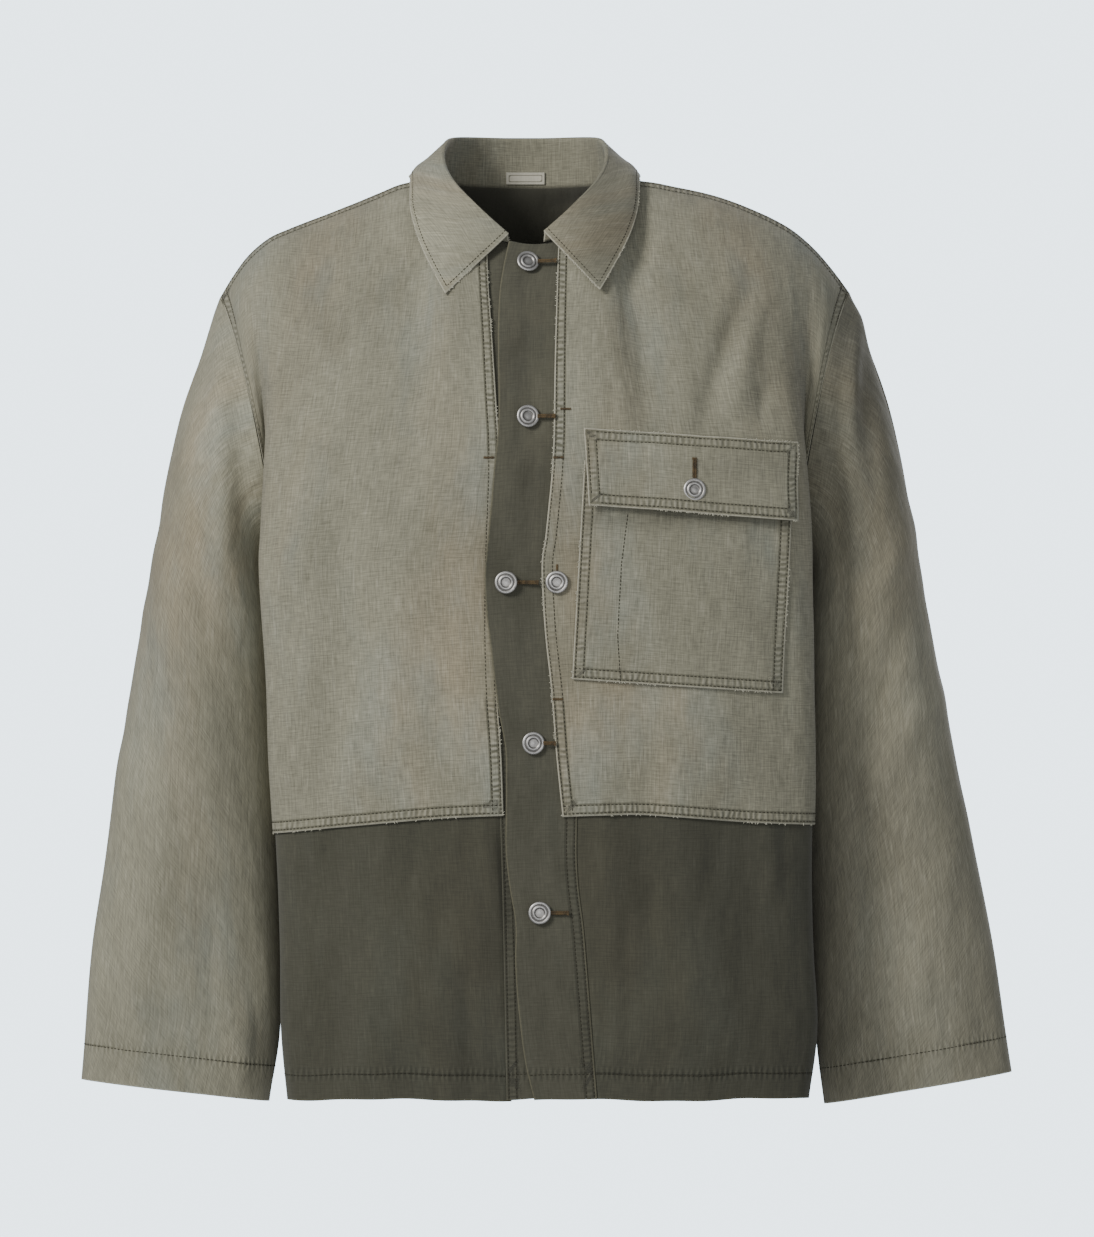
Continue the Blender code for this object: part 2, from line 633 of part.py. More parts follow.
def build():
    for stale in list(bpy.data.objects):
        bpy.data.objects.remove(stale, do_unlink=True)
    light = material("washed_khaki", (0.28, 0.28, 0.22), 0.9)
    dark = material("dark_olive", (0.065, 0.07, 0.045), 0.9)
    cream = material("cream_tab", (0.6, 0.58, 0.48), 0.85)
    metal = material("pewter", (0.45, 0.44, 0.42), 0.35, 1.0)

    for side, name in ((-1, "right"), (1, "left")):
        grid = panel(True, *front_light(side))
        cloth(f"front_{name}", inset(grid, ["right", "top"]), light, outward=side)
        cloth(f"sleeve_{name}", sleeve_grid(side), light, ring=True, outward=side)

    across = back_places()
    shares = light_rows()
    rises = [light_rises(across, share, False) for share in shares]
    grid = inset(panel(False, [across] * len(shares), rises), ["left", "right", "top"])
    cloth("back", grid, light, outward=-1)

    rises = [[(light_bottom(place, False) + LAP_RISE) * j / LOW_ROWS for place in across]
             for j in range(LOW_ROWS + 1)]
    grid = inset(panel(False, [across] * len(rises), rises, -PITCH), ["left", "right"])
    cloth("lower_back", grid, dark, outward=-1)

    for side, name, edge in ((-1, "right", UNDER_OUTER), (1, "left", STRIP_SEAM)):
        places, rises = [], []
        for j in range(LOW_ROWS + 1):
            start = centre_place(edge, 0.55 * j / LOW_ROWS)
            places.append(row_places(start, side))
            rises.append([(light_bottom(place, True) + LAP_RISE) * j / LOW_ROWS for place in places[-1]])
        grid = inset(panel(True, places, rises, -PITCH), ["left", "right"])
        cloth(f"lower_front_{name}", grid, dark, outward=side)

    strip = fitted_strip(STRIP_OUTER, STRIP_SEAM, 6, 26, STRIP_LOW, strip_lift, STRIP_TOP)
    cloth("placket_left", inset(strip, ["right"]), dark)
    under = fitted_strip(UNDER_OUTER, UNDER_INNER, 4, 18, UNDER_LOW, under_lift, UNDER_TOP)
    cloth("placket_right", inset(under, ["left"]), dark)

    cloth("collar", collar_grid(), light, outward=-1)
    cloth("label", label_grid(4, 1), cream, wall=LABEL_WALL)

    cloth("pocket", quad_grid(POCKET, 10, 10, lambda out, height: POCKET_LIFT), light)
    cloth("pocket_flap", quad_grid(FLAP, 10, 4, flap_lift), light)

    seats = [(*spot, strip_lift) for spot in STRIP_BUTTONS]
    seats += [(*EDGE_BUTTON, lambda out, height: 0.0), (*FLAP_BUTTON, flap_lift)]
    for number, spot in enumerate(seats, 1):
        button(f"button_{number}", *seat(*spot), metal)


build()
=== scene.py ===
import math
from bisect import bisect_right
from functools import lru_cache

import bmesh
import bpy
import numpy as np
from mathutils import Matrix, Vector


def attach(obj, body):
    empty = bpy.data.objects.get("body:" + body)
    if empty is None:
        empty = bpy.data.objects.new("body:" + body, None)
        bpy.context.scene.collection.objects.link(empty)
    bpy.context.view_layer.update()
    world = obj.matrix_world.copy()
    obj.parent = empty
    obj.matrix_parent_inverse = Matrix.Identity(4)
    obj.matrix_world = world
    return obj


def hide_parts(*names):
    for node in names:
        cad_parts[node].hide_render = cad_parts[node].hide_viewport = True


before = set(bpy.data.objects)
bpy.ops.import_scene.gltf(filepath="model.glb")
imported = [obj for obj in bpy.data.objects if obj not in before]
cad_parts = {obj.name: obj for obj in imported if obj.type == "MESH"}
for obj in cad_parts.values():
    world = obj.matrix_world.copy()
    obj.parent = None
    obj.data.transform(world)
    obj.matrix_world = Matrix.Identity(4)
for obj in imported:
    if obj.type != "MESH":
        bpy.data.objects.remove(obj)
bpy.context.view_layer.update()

# All lengths are in millimetres; side -1 is the wearer's right, at -X.
mm = 0.001
noLimit = -9999.0
halfFront = 260.0                   # roughly from the middle to the edge of place 1

jacket = {
    "cloth": 1.2,
    "pitch": 2.0,           # one lapped layer to the next
    "pocketLift": 2.3,
    "hem": -714.0,
    "underarm": -300.0,
    "lap": 12.0,
    "squareness": 3.1,
    "sideHollow": 50.0,
    "seamBack": 12.0,
    # height, wearer's right edge, wearer's left edge, front depth, back depth
    "body": ((-714.0, -194.5, 215.0, 112.0, 104.0), (-685.0, -197.0, 219.0, 114.0, 105.0),
             (-660.0, -198.7, 221.0, 116.0, 106.0), (-607.0, -199.8, 219.5, 119.0, 108.0),
             (-529.0, -203.0, 217.8, 123.0, 110.0), (-455.0, -206.7, 216.8, 126.0, 112.0),
             (-381.0, -209.4, 217.0, 128.0, 115.0), (-300.0, -215.0, 216.5, 128.0, 119.0)),
    "neckX": -8.0, "neckHalf": 72.0, "neckFront": 62.0, "neckBack": 84.0,
    "neckLow": -48.0, "neckHigh": 3.0, "neckNape": 0.5, "neckShare": 0.32, "seamForward": -10.0,
    "shoulder": {
        -1: ((80.0, 3.0), (91.0, 3.9), (109.0, -1.6), (137.0, -13.0), (165.0, -24.0), (193.5, -35.0),
             (214.0, -45.2), (228.0, -59.4), (239.5, -75.8), (247.0, -88.5)),
        1: ((64.0, 3.0), (77.0, 3.6), (109.0, -1.8), (141.0, -8.9), (171.0, -19.8), (199.3, -34.0),
            (219.0, -50.4), (229.5, -62.0), (246.5, -84.5))},
    "frontArrives": ((0.0, 0, 130, 200), (0.32, 0, 240, 120), (0.7, 5, 270, 100), (0.9, 15, 270, 110),
                     (1.0, 60, 250, 110)),
    "backArrives": ((0.0, 0, -160, 190), (0.32, 0, -280, 50), (0.7, 5, -290, 30), (0.9, 15, -270, 80),
                    (1.0, 50, -210, 110)),
    "rise": 240.0,
    "armholeStart": {True: (5, -260, 110), False: (5, 236, 110)},
    "lightBottom": {-1: ((-200.0, -507.0), (-144.0, -501.5), (-74.0, -495.3), (-22.0, -493.0)),
                    1: ((20.0, -494.0), (81.0, -492.4), (168.0, -498.5), (217.0, -500.4))},
    "facing": 0.7,
}


def placed(name, data):
    piece = bpy.data.objects.new(name, data)
    bpy.context.scene.collection.objects.link(piece)
    return piece


def hermite(start, leave, end, arrive, u):
    square = u * u
    cube = square * u
    return (start * (2 * cube - 3 * square + 1) + leave * (cube - 2 * square + u)
            + end * (3 * square - 2 * cube) + arrive * (cube - square))


def ease(value, start, end):
    share = np.clip((value - start) / (end - start), 0.0, 1.0)
    return share * share * (3.0 - 2.0 * share)


def through(stops, at):             # a smooth curve through stops, each a place and its values
    if stops[0][0] > stops[-1][0]:
        stops = stops[::-1]
    places = [stop[0] for stop in stops]
    values = [np.array(stop[1:], float) for stop in stops]
    at = min(max(at, places[0]), places[-1])
    k = min(max(bisect_right(places, at) - 1, 0), len(places) - 2)
    span = places[k + 1] - places[k]

    def slope(i):
        low, high = max(i - 1, 0), min(i + 1, len(places) - 1)
        return (values[high] - values[low]) / (places[high] - places[low])

    return hermite(values[k], slope(k) * span, values[k + 1], slope(k + 1) * span,
                   (at - places[k]) / span)


def runAlong(line):                 # length along a line of points from its start
    return np.concatenate([[0], np.cumsum(np.linalg.norm(np.diff(line, axis=0), axis=1))])


def readAt(values, run, at):        # the line's points at these lengths
    return np.stack([np.interp(at, run, values[:, k]) for k in range(3)], axis=-1)


def unit(vector):
    return vector / np.linalg.norm(vector, axis=-1, keepdims=True)


@lru_cache(maxsize=None)
def shoulderStops(side):
    line = np.array(jacket["shoulder"][side])
    length = runAlong(line)
    return tuple((share, *point) for share, point in zip(length / length[-1], line))


@lru_cache(maxsize=None)
def quarter(height, front):         # one quarter of the body's section
    low, high, ahead, behind = through(jacket["body"], height)
    half = (high - low) / 2
    seamBack = jacket["seamBack"]
    depth = ahead + seamBack if front else behind - seamBack
    turn = np.linspace(0, math.pi / 2, 61)
    out = np.sin(turn) ** (2 / jacket["squareness"])
    back = np.cos(turn) ** (2 / jacket["squareness"]) * depth
    hollow = jacket["sideHollow"] * ease(turn, math.radians(45), math.radians(90))
    width = half
    for _ in range(12):
        width += half - (out * width - hollow).max()
    out = out * width - hollow
    back = seamBack + (-back if front else back)
    length = np.concatenate([[0], np.cumsum(np.hypot(np.diff(out), np.diff(back)))])
    return length / length[-1], out, back, (low + high) / 2


def bodySection(place, height, front):
    share, out, back, middle = quarter(round(height, 3), front)
    side = -1 if place < 0 else 1
    return np.array([middle + side * np.interp(abs(place), share, out),
                     np.interp(abs(place), share, back), height])


def topEdge(place, front):          # the neckline, then the shoulder seam
    side = -1 if place < 0 else 1
    share = abs(place)
    if share <= jacket["neckShare"]:
        turn = share / jacket["neckShare"] * math.pi / 2
        drop = math.cos(turn)
        low = jacket["neckLow"] if front else jacket["neckNape"]
        reach = -jacket["neckFront"] if front else jacket["neckBack"]
        return np.array([jacket["neckX"] + side * jacket["neckHalf"] * math.sin(turn),
                         jacket["seamForward"] + reach * drop,
                         jacket["neckHigh"] + (low - jacket["neckHigh"]) * drop ** 1.5])
    along = (share - jacket["neckShare"]) / (1 - jacket["neckShare"])
    out, up = through(shoulderStops(side), along)
    return np.array([side * out, jacket["seamForward"] * (1 - along) + jacket["seamBack"] * 0.4 * along, up])


@lru_cache(maxsize=None)
def surface(place, rise, front):    # rise: 0 hem, 1 underarm, 2 top edge
    if rise <= 1:
        return bodySection(place, jacket["hem"] + (jacket["underarm"] - jacket["hem"]) * rise, front)
    side = -1 if place < 0 else 1
    share = abs(place)
    start = bodySection(place, jacket["underarm"], front)
    end = topEdge(place, front)
    edge = ease(share, 0.86, 1.0)
    leave = (np.array([0.0, -20.0 if front else 10.0, jacket["rise"]]) * (1 - edge)
             + np.array(jacket["armholeStart"][front], float) * edge)
    arrive = through(jacket["frontArrives" if front else "backArrives"], share)
    outward = np.array([side, 1, 1])
    return hermite(start, leave * outward, end, arrive * outward, rise - 1)


@lru_cache(maxsize=None)
def locate(out, height):            # place and rise of a spot of the front view
    place, rise = out / halfFront, riseOf(height)
    if rise > 1:
        rise = 1 + (height - jacket["underarm"]) / 255.0
    tiny = 0.001
    for _ in range(25):
        rise = min(max(rise, 0.0), 1.995)
        here = surface(place, rise, True)
        miss = np.array([out - here[0], height - here[2]])
        if abs(miss).max() < 0.01:
            break
        sideways = (surface(place + tiny, rise, True) - here)[[0, 2]] / tiny
        upward = (surface(place, rise + tiny, True) - here)[[0, 2]] / tiny
        change = np.linalg.solve(np.array([sideways, upward]).T, miss)
        place = min(max(place + change[0], -jacket["facing"]), jacket["facing"])
        rise += change[1]
    return place, rise


def riseOf(height):
    return (height - jacket["hem"]) / (jacket["underarm"] - jacket["hem"])


def centrePlace(stops, rise):       # where an edge given in front view crosses a row
    place = 0.0
    for _ in range(30):
        here = surface(place, rise, True)
        miss = through(stops, here[2])[0] - here[0]
        place += miss / halfFront
        if abs(miss) < 0.01:
            break
    return place


# soft folds: from out, from height, to out, to height, half width, height above the cloth
folds = {
    "front": ((167, -90, 133, -188, 9, -3.4), (181, -86, 148, -178, 10, 2.6), (187, -158, 172, -186, 7, -2.2),
              (-231, -84, -222, -150, 8, 1.6), (-190, -58, -150, -125, 20, -2.8),
              (-120, -30, -100, -160, 26, -1.4), (-175, -150, -190, -330, 18, 2.0),
              (-150, -230, -160, -480, 14, -1.6), (-95, -180, -118, -470, 22, 1.5),
              (-60, -300, -75, -480, 13, -1.2), (-38, -500, -36, -580, 8, 2.0), (-25, -520, -22, -600, 7, -1.6),
              (-120, -520, -128, -700, 20, 1.6), (-165, -515, -160, -700, 13, -1.6),
              (55, -415, 60, -690, 11, 1.8), (84, -405, 98, -640, 10, -1.8), (118, -420, 122, -700, 16, 1.4),
              (160, -405, 170, -700, 15, -1.8), (200, -230, 205, -480, 9, 1.8), (60, -60, 95, -175, 22, -1.6),
              (120, -60, 160, -120, 18, 1.4), (-176, -500, -172, -545, 6, 1.1),
              (-152, -498, -155, -560, 5, -1.0), (-118, -497, -116, -540, 6, 1.0),
              (-92, -496, -95, -570, 7, -1.1), (-60, -494, -57, -540, 5, 0.9), (-150, -540, -100, -640, 9, 1.2),
              (-90, -560, -60, -660, 8, 1.2), (-170, -600, -140, -700, 9, -1.1),
              (-46, -600, -50, -712, 6, -1.2), (88, -495, 86, -550, 6, 1.0), (140, -496, 138, -560, 7, -1.0),
              (176, -500, 180, -560, 6, 0.9), (60, -70, 72, -190, 6, 0.9), (92, -90, 86, -190, 5, -0.9),
              (108, -120, 120, -190, 6, 0.8), (15, -60, 26, -180, 10, 1.0), (60, -205, 190, -215, 14, 0.8),
              (-80, -95, -60, -200, 16, 1.2)),
    "back": ((-170, -80, -120, -220, 16, -3.0), (165, -80, 120, -230, 16, -3.0),
             (-130, -230, -150, -480, 22, 2.2), (120, -230, 150, -480, 22, 2.2), (0, -60, 4, -360, 30, 1.6),
             (-60, -300, -70, -700, 18, -2.2), (70, -280, 60, -700, 20, -2.0),
             (-185, -200, -175, -420, 12, 2.4), (185, -200, 180, -430, 12, 2.4),
             (-100, -520, -104, -710, 16, 2.0), (110, -520, 118, -710, 14, 2.0), (10, -500, 14, -710, 20, 1.5)),
    "sleeve": ((247, -100, 250, -215, 7, 2.6), (262, -130, 268, -260, 9, -2.6), (235, -160, 246, -330, 9, -2.4),
               (290, -260, 262, -330, 10, 2.2), (300, -330, 255, -420, 12, -2.6),
               (318, -400, 262, -480, 13, 2.4), (235, -470, 300, -540, 12, -1.8),
               (330, -500, 300, -660, 14, 1.8), (262, -540, 280, -700, 13, -2.0),
               (345, -600, 350, -700, 10, -1.6), (300, -590, 318, -700, 9, 1.4)),
    "sleeveRight": ((-262, -120, -276, -250, 10, -2.2), (-240, -130, -246, -300, 9, 2.2),
                    (-290, -260, -252, -350, 11, -2.4), (-302, -330, -250, -430, 12, 2.2),
                    (-320, -430, -255, -520, 14, -2.2), (-300, -520, -318, -690, 13, 1.8),
                    (-262, -560, -250, -700, 10, -1.8), (-336, -560, -342, -690, 9, 1.3),
                    (-230, -640, -222, -705, 8, 1.8)),
}


crease = {"share": 1.35, "bend": 5.0}


def foldLift(points, group):        # how far the folds stand off the plain cloth
    x, z = points[..., 0], points[..., 2]
    total = np.zeros(x.shape)
    for x0, z0, x1, z1, width, lift in folds[group]:
        alongX, alongZ = x1 - x0, z1 - z0
        length = math.hypot(alongX, alongZ)
        share = ((x - x0) * alongX + (z - z0) * alongZ) / length ** 2
        bend = crease["bend"] * np.sin(share * 2.4 + x0)
        across = ((x - x0) * alongZ - (z - z0) * alongX) / length + bend
        fade = ease(share, -0.25, 0.3) * (1 - ease(share, 0.65, 1.25))
        total += lift * np.exp(-(across / width) ** 2) * fade
    wave = (0.45 * np.sin(x / 17.0 + 0.6 * np.sin(z / 41.0)) + 0.35 * np.sin(z / 37.0 + x / 29.0)
            + 0.3 * np.sin(x / 9.5 + z / 23.0 + 1.3 * np.sin(z / 60.0)))
    return total * crease["share"] + wave


def spline(count, at, ring=False):  # weights that read a row of points smoothly at fractional places
    weights = np.zeros((len(at), count))
    for row, place in enumerate(at):
        k = math.floor(place) if ring else int(min(max(math.floor(place), 0), count - 2))
        u = place - k
        lean = ((-u ** 3 + 2 * u * u - u) / 2, (3 * u ** 3 - 5 * u * u + 2) / 2,
                (-3 * u ** 3 + 4 * u * u + u) / 2, (u ** 3 - u * u) / 2)
        for step, weight in zip((k - 1, k, k + 1, k + 2), lean):
            if ring:
                weights[row, step % count] += weight
            elif 0 <= step < count:
                weights[row, step] += weight
            else:                   # beyond an end the line goes straight on
                last, beside = (0, 1) if step < 0 else (-1, -2)
                weights[row, last] += 2 * weight
                weights[row, beside] -= weight
    return weights


def finePlaces(count, steps, ends=(True, True)):    # even places, with a few close to the edges
    even = list(np.linspace(0, count - 1, steps + 1))
    near = 1.3 * (count - 1) / steps / 5
    low = [near, near * 2.2] if ends[0] else []
    high = [count - 1 - near * 2.2, count - 1 - near] if ends[1] else []
    return np.array(sorted(even + low + high))


def refine(grid, rows, columns, ring=False, ends=(True, True)):
    rowAt = finePlaces(grid.shape[0], rows)
    if ring:
        columnAt = np.arange(columns) * grid.shape[1] / columns
        across = spline(grid.shape[1], columnAt, ring=True)
    else:
        across = spline(grid.shape[1], finePlaces(grid.shape[1], columns, ends))
    down = spline(grid.shape[0], rowAt)
    return np.einsum("ab,bcd,ec->aed", down, grid, across)


def gridNormals(grid, ring, outward):
    across = np.roll(grid, -1, axis=1) - np.roll(grid, 1, axis=1) if ring else np.gradient(grid, axis=1)
    normal = np.cross(across, np.gradient(grid, axis=0)) * outward
    return normal / np.maximum(np.linalg.norm(normal, axis=-1, keepdims=True), 1e-9)


def runs(grid, axis):               # length along the grid from its first row or column
    step = np.linalg.norm(np.diff(grid, axis=axis), axis=-1)
    return np.concatenate([np.zeros_like(np.take(step, [0], axis=axis)), np.cumsum(step, axis=axis)], axis=axis)


def twice(values):                  # for both faces of a cloth
    return np.concatenate([values.ravel(), values.ravel()])


class Cloth:                        # one sheet of cloth: its middle grid, normals and lengths
    def __init__(self, name, grid, outward=1, ring=False, wall=None):
        self.name = name
        self.grid = grid
        self.ring = ring
        self.outward = outward
        self.wall = wall or jacket["cloth"]
        self.measure()

    def measure(self):
        self.normal = gridNormals(self.grid, self.ring, self.outward)
        self.u = runs(self.grid, 1)
        self.v = runs(self.grid, 0)
        self.toEdge = {"left": self.u, "right": self.u[:, -1:] - self.u,
                       "bottom": self.v, "top": self.v[-1:] - self.v}

    def lift(self, amount):
        self.grid = self.grid + self.normal * amount[..., None]
        self.measure()

    def edgeLine(self, edge, inset, skip=(0.0, 0.0), above=noLimit):    # points and normals beside an edge
        across = edge in ("left", "right")
        distance = self.toEdge[edge]
        lines = self.grid + self.normal * self.wall / 2
        count = self.grid.shape[0] if across else self.grid.shape[1]
        points, normals = [], []
        for i in range(count):
            d = distance[i] if across else distance[:, i]
            p = lines[i] if across else lines[:, i]
            n = self.normal[i] if across else self.normal[:, i]
            if d[0] > d[-1]:
                d, p, n = d[::-1], p[::-1], n[::-1]
            if d[-1] < inset or np.interp(inset, d, p[:, 2]) < above:
                continue
            points.append(readAt(p, d, inset))
            normals.append(readAt(n, d, inset))
        if self.ring and not across:
            points.append(points[0])
            normals.append(normals[0])
        return trimLine(np.array(points), np.array(normals), skip)

    def edgeRun(self, name):        # rungs lie level beside a side edge and upright beside the others
        if self.ring:
            return self.u
        return self.grid[..., 2] if name in ("left", "right") else self.grid[..., 0]

    def make(self, material, edges=(), bands=(), hems=(), pucker=None, insideValue=0.0, paintedShadeAndTone=()):
        rows, columns = self.grid.shape[:2]
        half = self.normal * self.wall / 2
        points = np.concatenate([(self.grid + half).reshape(-1, 3), (self.grid - half).reshape(-1, 3)]) * mm
        index = np.arange(rows * columns).reshape(rows, columns)
        right = np.roll(index, -1, axis=1) if self.ring else index[:, 1:]
        left = index if self.ring else index[:, :-1]
        under = rows * columns
        quads = np.stack([left[:-1], right[:-1], right[1:], left[1:]], axis=-1).reshape(-1, 4)
        faces = [quads, quads[:, ::-1] + under]
        rims = [np.stack([left[0], left[0] + under, right[0] + under, right[0]], axis=-1),
                np.stack([right[-1], right[-1] + under, left[-1] + under, left[-1]], axis=-1)]
        if not self.ring:
            a, b = index[:-1, 0], index[1:, 0]
            rims.append(np.stack([b, b + under, a + under, a], axis=-1))
            a, b = index[:-1, -1], index[1:, -1]
            rims.append(np.stack([a, a + under, b + under, b], axis=-1))
        faces += rims
        faces = np.concatenate([face.reshape(-1, 4) for face in faces])
        if self.outward < 0:
            faces = faces[:, ::-1]
        mesh = bpy.data.meshes.new(self.name)
        mesh.vertices.add(len(points))
        mesh.vertices.foreach_set("co", points.ravel())
        mesh.loops.add(faces.size)
        mesh.loops.foreach_set("vertex_index", faces.ravel())
        mesh.polygons.add(len(faces))
        mesh.polygons.foreach_set("loop_start", np.arange(len(faces)) * 4)
        mesh.polygons.foreach_set("loop_total", np.full(len(faces), 4))
        mesh.update(calc_edges=True)
        mesh.validate()
        mesh.polygons.foreach_set("use_smooth", np.ones(len(faces), bool))
        uv = mesh.uv_layers.new(name="weave")
        flat = np.stack([twice(self.u - self.u.mean(axis=1, keepdims=True)), twice(self.v)], axis=-1) * mm
        if self.ring:               # a tube's last face goes on past its seam instead of back
            turn = np.linalg.norm(self.grid[:, 0] - self.grid[:, -1], axis=-1)
        uvs = flat[faces.ravel()]
        if self.ring:
            ids = faces.ravel() % under
            column, row = ids % columns, ids // columns
            wraps = ((column.reshape(-1, 4) == 0).any(1) & (column.reshape(-1, 4) == columns - 1).any(1))
            mask = np.repeat(wraps, 4) & (column == 0)
            uvs[mask, 0] = (self.u[row[mask], -1] + turn[row[mask]] - self.u.mean(axis=1)[row[mask]]) * mm
        uv.data.foreach_set("uv", uvs.ravel())
        far = np.full(self.u.shape, 99.0)
        edge, across, along = far.copy(), far.copy(), self.v.copy()
        for name in edges:
            edge = np.minimum(edge, self.toEdge[name])
        for name in bands:
            distance = self.toEdge[name]
            near = distance < across
            across = np.where(near, distance, across)
            along = np.where(near, self.edgeRun(name), along)
        strength = np.full(self.u.shape, 0.7) if pucker is None else pucker
        hemline = np.full(self.u.shape, 20.0)
        for name, inset in hems:    # a single line of stitches some way in
            distance = np.abs(self.toEdge[name] - inset)
            near = (distance < hemline) & (distance < across)
            hemline = np.where(near, distance, hemline)
            along = np.where(near, self.edgeRun(name), along)
        inside = np.concatenate([np.zeros(under), np.full(under, insideValue)])
        # painted light and shade: patches that lighten some places and darken others, mostly standing for light and
        # shade, partly the panels' own tone
        shadeAndTone = np.zeros(self.u.shape)
        for x, z, wide, high, amount in paintedShadeAndTone:
            shadeAndTone += amount * np.exp(-((self.grid[..., 0] - x) / wide) ** 2 - ((self.grid[..., 2] - z) / high) ** 2)
        # the painted light and shade fades out towards the back, so only faces turned to the front carry it
        shadeAndTone *= ease(-self.grid[..., 1], -90.0 if self.name == "collar" else -30.0, 10.0)
        for name, values in (("edge", twice(edge)), ("across", twice(across)), ("along", twice(along)),
                             ("hemline", twice(hemline)), ("pucker", twice(strength)), ("shadeAndTone", twice(shadeAndTone)),
                             ("inside", inside)):
            mesh.attributes.new(name, "FLOAT", "POINT").data.foreach_set("value", values.astype(np.float32))
        mesh.materials.append(material)
        return placed(self.name + "_cloth", mesh)

    def size(self):                 # width, length and area of the flat cloth in metres
        middle = (self.grid[:-1] + self.grid[1:]) / 2
        width = np.linalg.norm(np.diff(middle, axis=1), axis=-1)
        if self.ring:
            width = np.concatenate([width, np.linalg.norm(middle[:, :1] - middle[:, -1:], axis=-1)], axis=1)
        a = self.grid[:-1, :-1] - self.grid[1:, 1:]
        b = self.grid[:-1, 1:] - self.grid[1:, :-1]
        area = np.linalg.norm(np.cross(a, b), axis=-1).sum() / 2
        if self.ring:
            a = self.grid[:-1, -1] - self.grid[1:, 0]
            b = self.grid[:-1, 0] - self.grid[1:, -1]
            area += np.linalg.norm(np.cross(a, b), axis=-1).sum() / 2
        return float(width.sum(axis=1).max()) * mm, float(self.v[-1].max()) * mm, float(area) * mm * mm


def trimLine(points, normals, skip):
    run = runAlong(points)
    at = np.arange(skip[0], run[-1] - skip[1], 1.0)
    return readAt(points, run, at), readAt(normals, run, at)


# the cloth's plan, as the solids have it
columns = (0.32, 0.4, 0.47, 0.53, 0.58, 0.63, 0.68, 0.73, 0.79, 0.86, 0.93, 1.0)
lowShares = [k / 4 for k in range(4)]
highShares = [1 + k / 11 for k in range(12)]

lapRise = jacket["lap"] / (jacket["underarm"] - jacket["hem"])

edges = {
    "lightRight": ((-40.0, -36.7), (-68.6, -36.7), (-126.0, -32.8), (-185.0, -29.0), (-217.0, -27.3),
                   (-300.0, -30.0), (-380.0, -30.0), (-444.0, -26.0), (-500.0, -24.0)),
    "lightLeft": ((-40.0, 18.5), (-57.7, 17.9), (-133.0, 15.6), (-214.5, 14.0), (-240.0, 11.7),
                  (-272.0, 8.6), (-305.0, 4.7), (-315.0, 4.7), (-341.0, 7.0), (-370.0, 9.4),
                  (-402.5, 13.3), (-456.0, 17.2), (-480.5, 18.7), (-494.0, 21.5)),
    "stripOuter": ((-44.0, -17.0), (-58.5, -22.6), (-83.5, -27.3), (-116.0, -28.9), (-191.0, -28.5),
                   (-235.0, -32.8), (-266.0, -35.1), (-298.0, -38.5), (-324.0, -38.5), (-354.0, -35.1),
                   (-382.0, -32.0), (-427.5, -25.7), (-444.0, -22.6), (-515.0, -22.6), (-541.0, -21.0),
                   (-570.0, -15.2), (-607.0, -15.2), (-651.0, -12.0), (-696.0, -5.5), (-716.0, 0.0)),
    "stripSeam": ((-44.0, 26.0), (-300.0, 29.0), (-494.0, 32.8), (-537.0, 32.8), (-576.0, 37.4),
                  (-716.0, 48.5)),
    "underOuter": ((-44.0, -46.0), (-500.0, -27.0), (-716.0, -22.0)),
    "underInner": ((-44.0, 20.0), (-500.0, 20.0), (-716.0, 26.0)),
    "ramp": (-26.0, 12.0),
}


def rowPlaces(start, side):
    neck = side * columns[0]
    return [start + (neck - start) * k / 3 for k in range(3)] + [side * place for place in columns]


def backPlaces():
    return [-place for place in columns[::-1]] + [columns[0] * k / 3 for k in range(-2, 3)] + list(columns)


def lightBottom(place, front):
    side = -1 if place < 0 else 1
    bottom = jacket["lightBottom"]
    if not front:
        low, high = bottom[-1][0][1], bottom[1][-1][1]
        return riseOf(low + (high - low) * (place + 1) / 2)
    return riseOf(through(bottom[side], surface(place, 0.5, True)[0])[0])


def lightRises(places, share, front):
    if share > 1:
        return [share] * len(places)
    return [low + (1 - low) * share for low in (lightBottom(place, front) for place in places)]


def onBody(places, rises, front):
    return np.array([[surface(place, rise, front) for place, rise in zip(*row)]
                     for row in zip(places, rises)])


def raised(cloth, amount):
    cloth.lift(np.full(cloth.u.shape, float(amount)))
    return cloth


def slack(grid):                    # an uneven hem
    x, low = grid[..., 0], 1 - ease(grid[..., 2], jacket["hem"] + 4.0, jacket["hem"] + 60.0)
    grid[..., 2] += low * (0.9 * np.sin(x / 23.0) + 0.35 * np.sin(x / 8.3 + 1.0) - 0.2)
    return grid


def frontLight(side):
    stops = edges["lightRight" if side < 0 else "lightLeft"]
    low = lightBottom(side * 0.08, True)
    places, rises = [], []
    for share in lowShares + highShares:
        places.append(rowPlaces(centrePlace(stops, low + (1 - low) * share if share < 1 else share), side))
        rises.append(lightRises(places[-1], share, True))
    return onBody(places, rises, True)


def lowerFront(side):
    stops = edges["underOuter" if side < 0 else "stripSeam"]
    places, rises = [], []
    for j in range(5):
        places.append(rowPlaces(centrePlace(stops, 0.55 * j / 4), side))
        rises.append([(lightBottom(place, True) + lapRise) * j / 4 for place in places[-1]])
    return onBody(places, rises, True)


def neckSink(height):               # the strips dip a little under the collar
    return 1.3 * ease(height, -170.0, -60.0)


def stripRise(z):                   # over the light panel's edge, then flat on the dark cloth
    return jacket["pitch"] * (1 - ease(-z, 480, 560))


def stripLift(points):
    x, z = points[..., 0], points[..., 2]
    over = stripRise(z)
    return over - (over + jacket["pitch"] + neckSink(z)) * ease(x, *edges["ramp"])


def underLift(points):
    x, z = points[..., 0], points[..., 2]
    return -jacket["pitch"] - (jacket["pitch"] + neckSink(z)) * ease(x, *edges["ramp"])


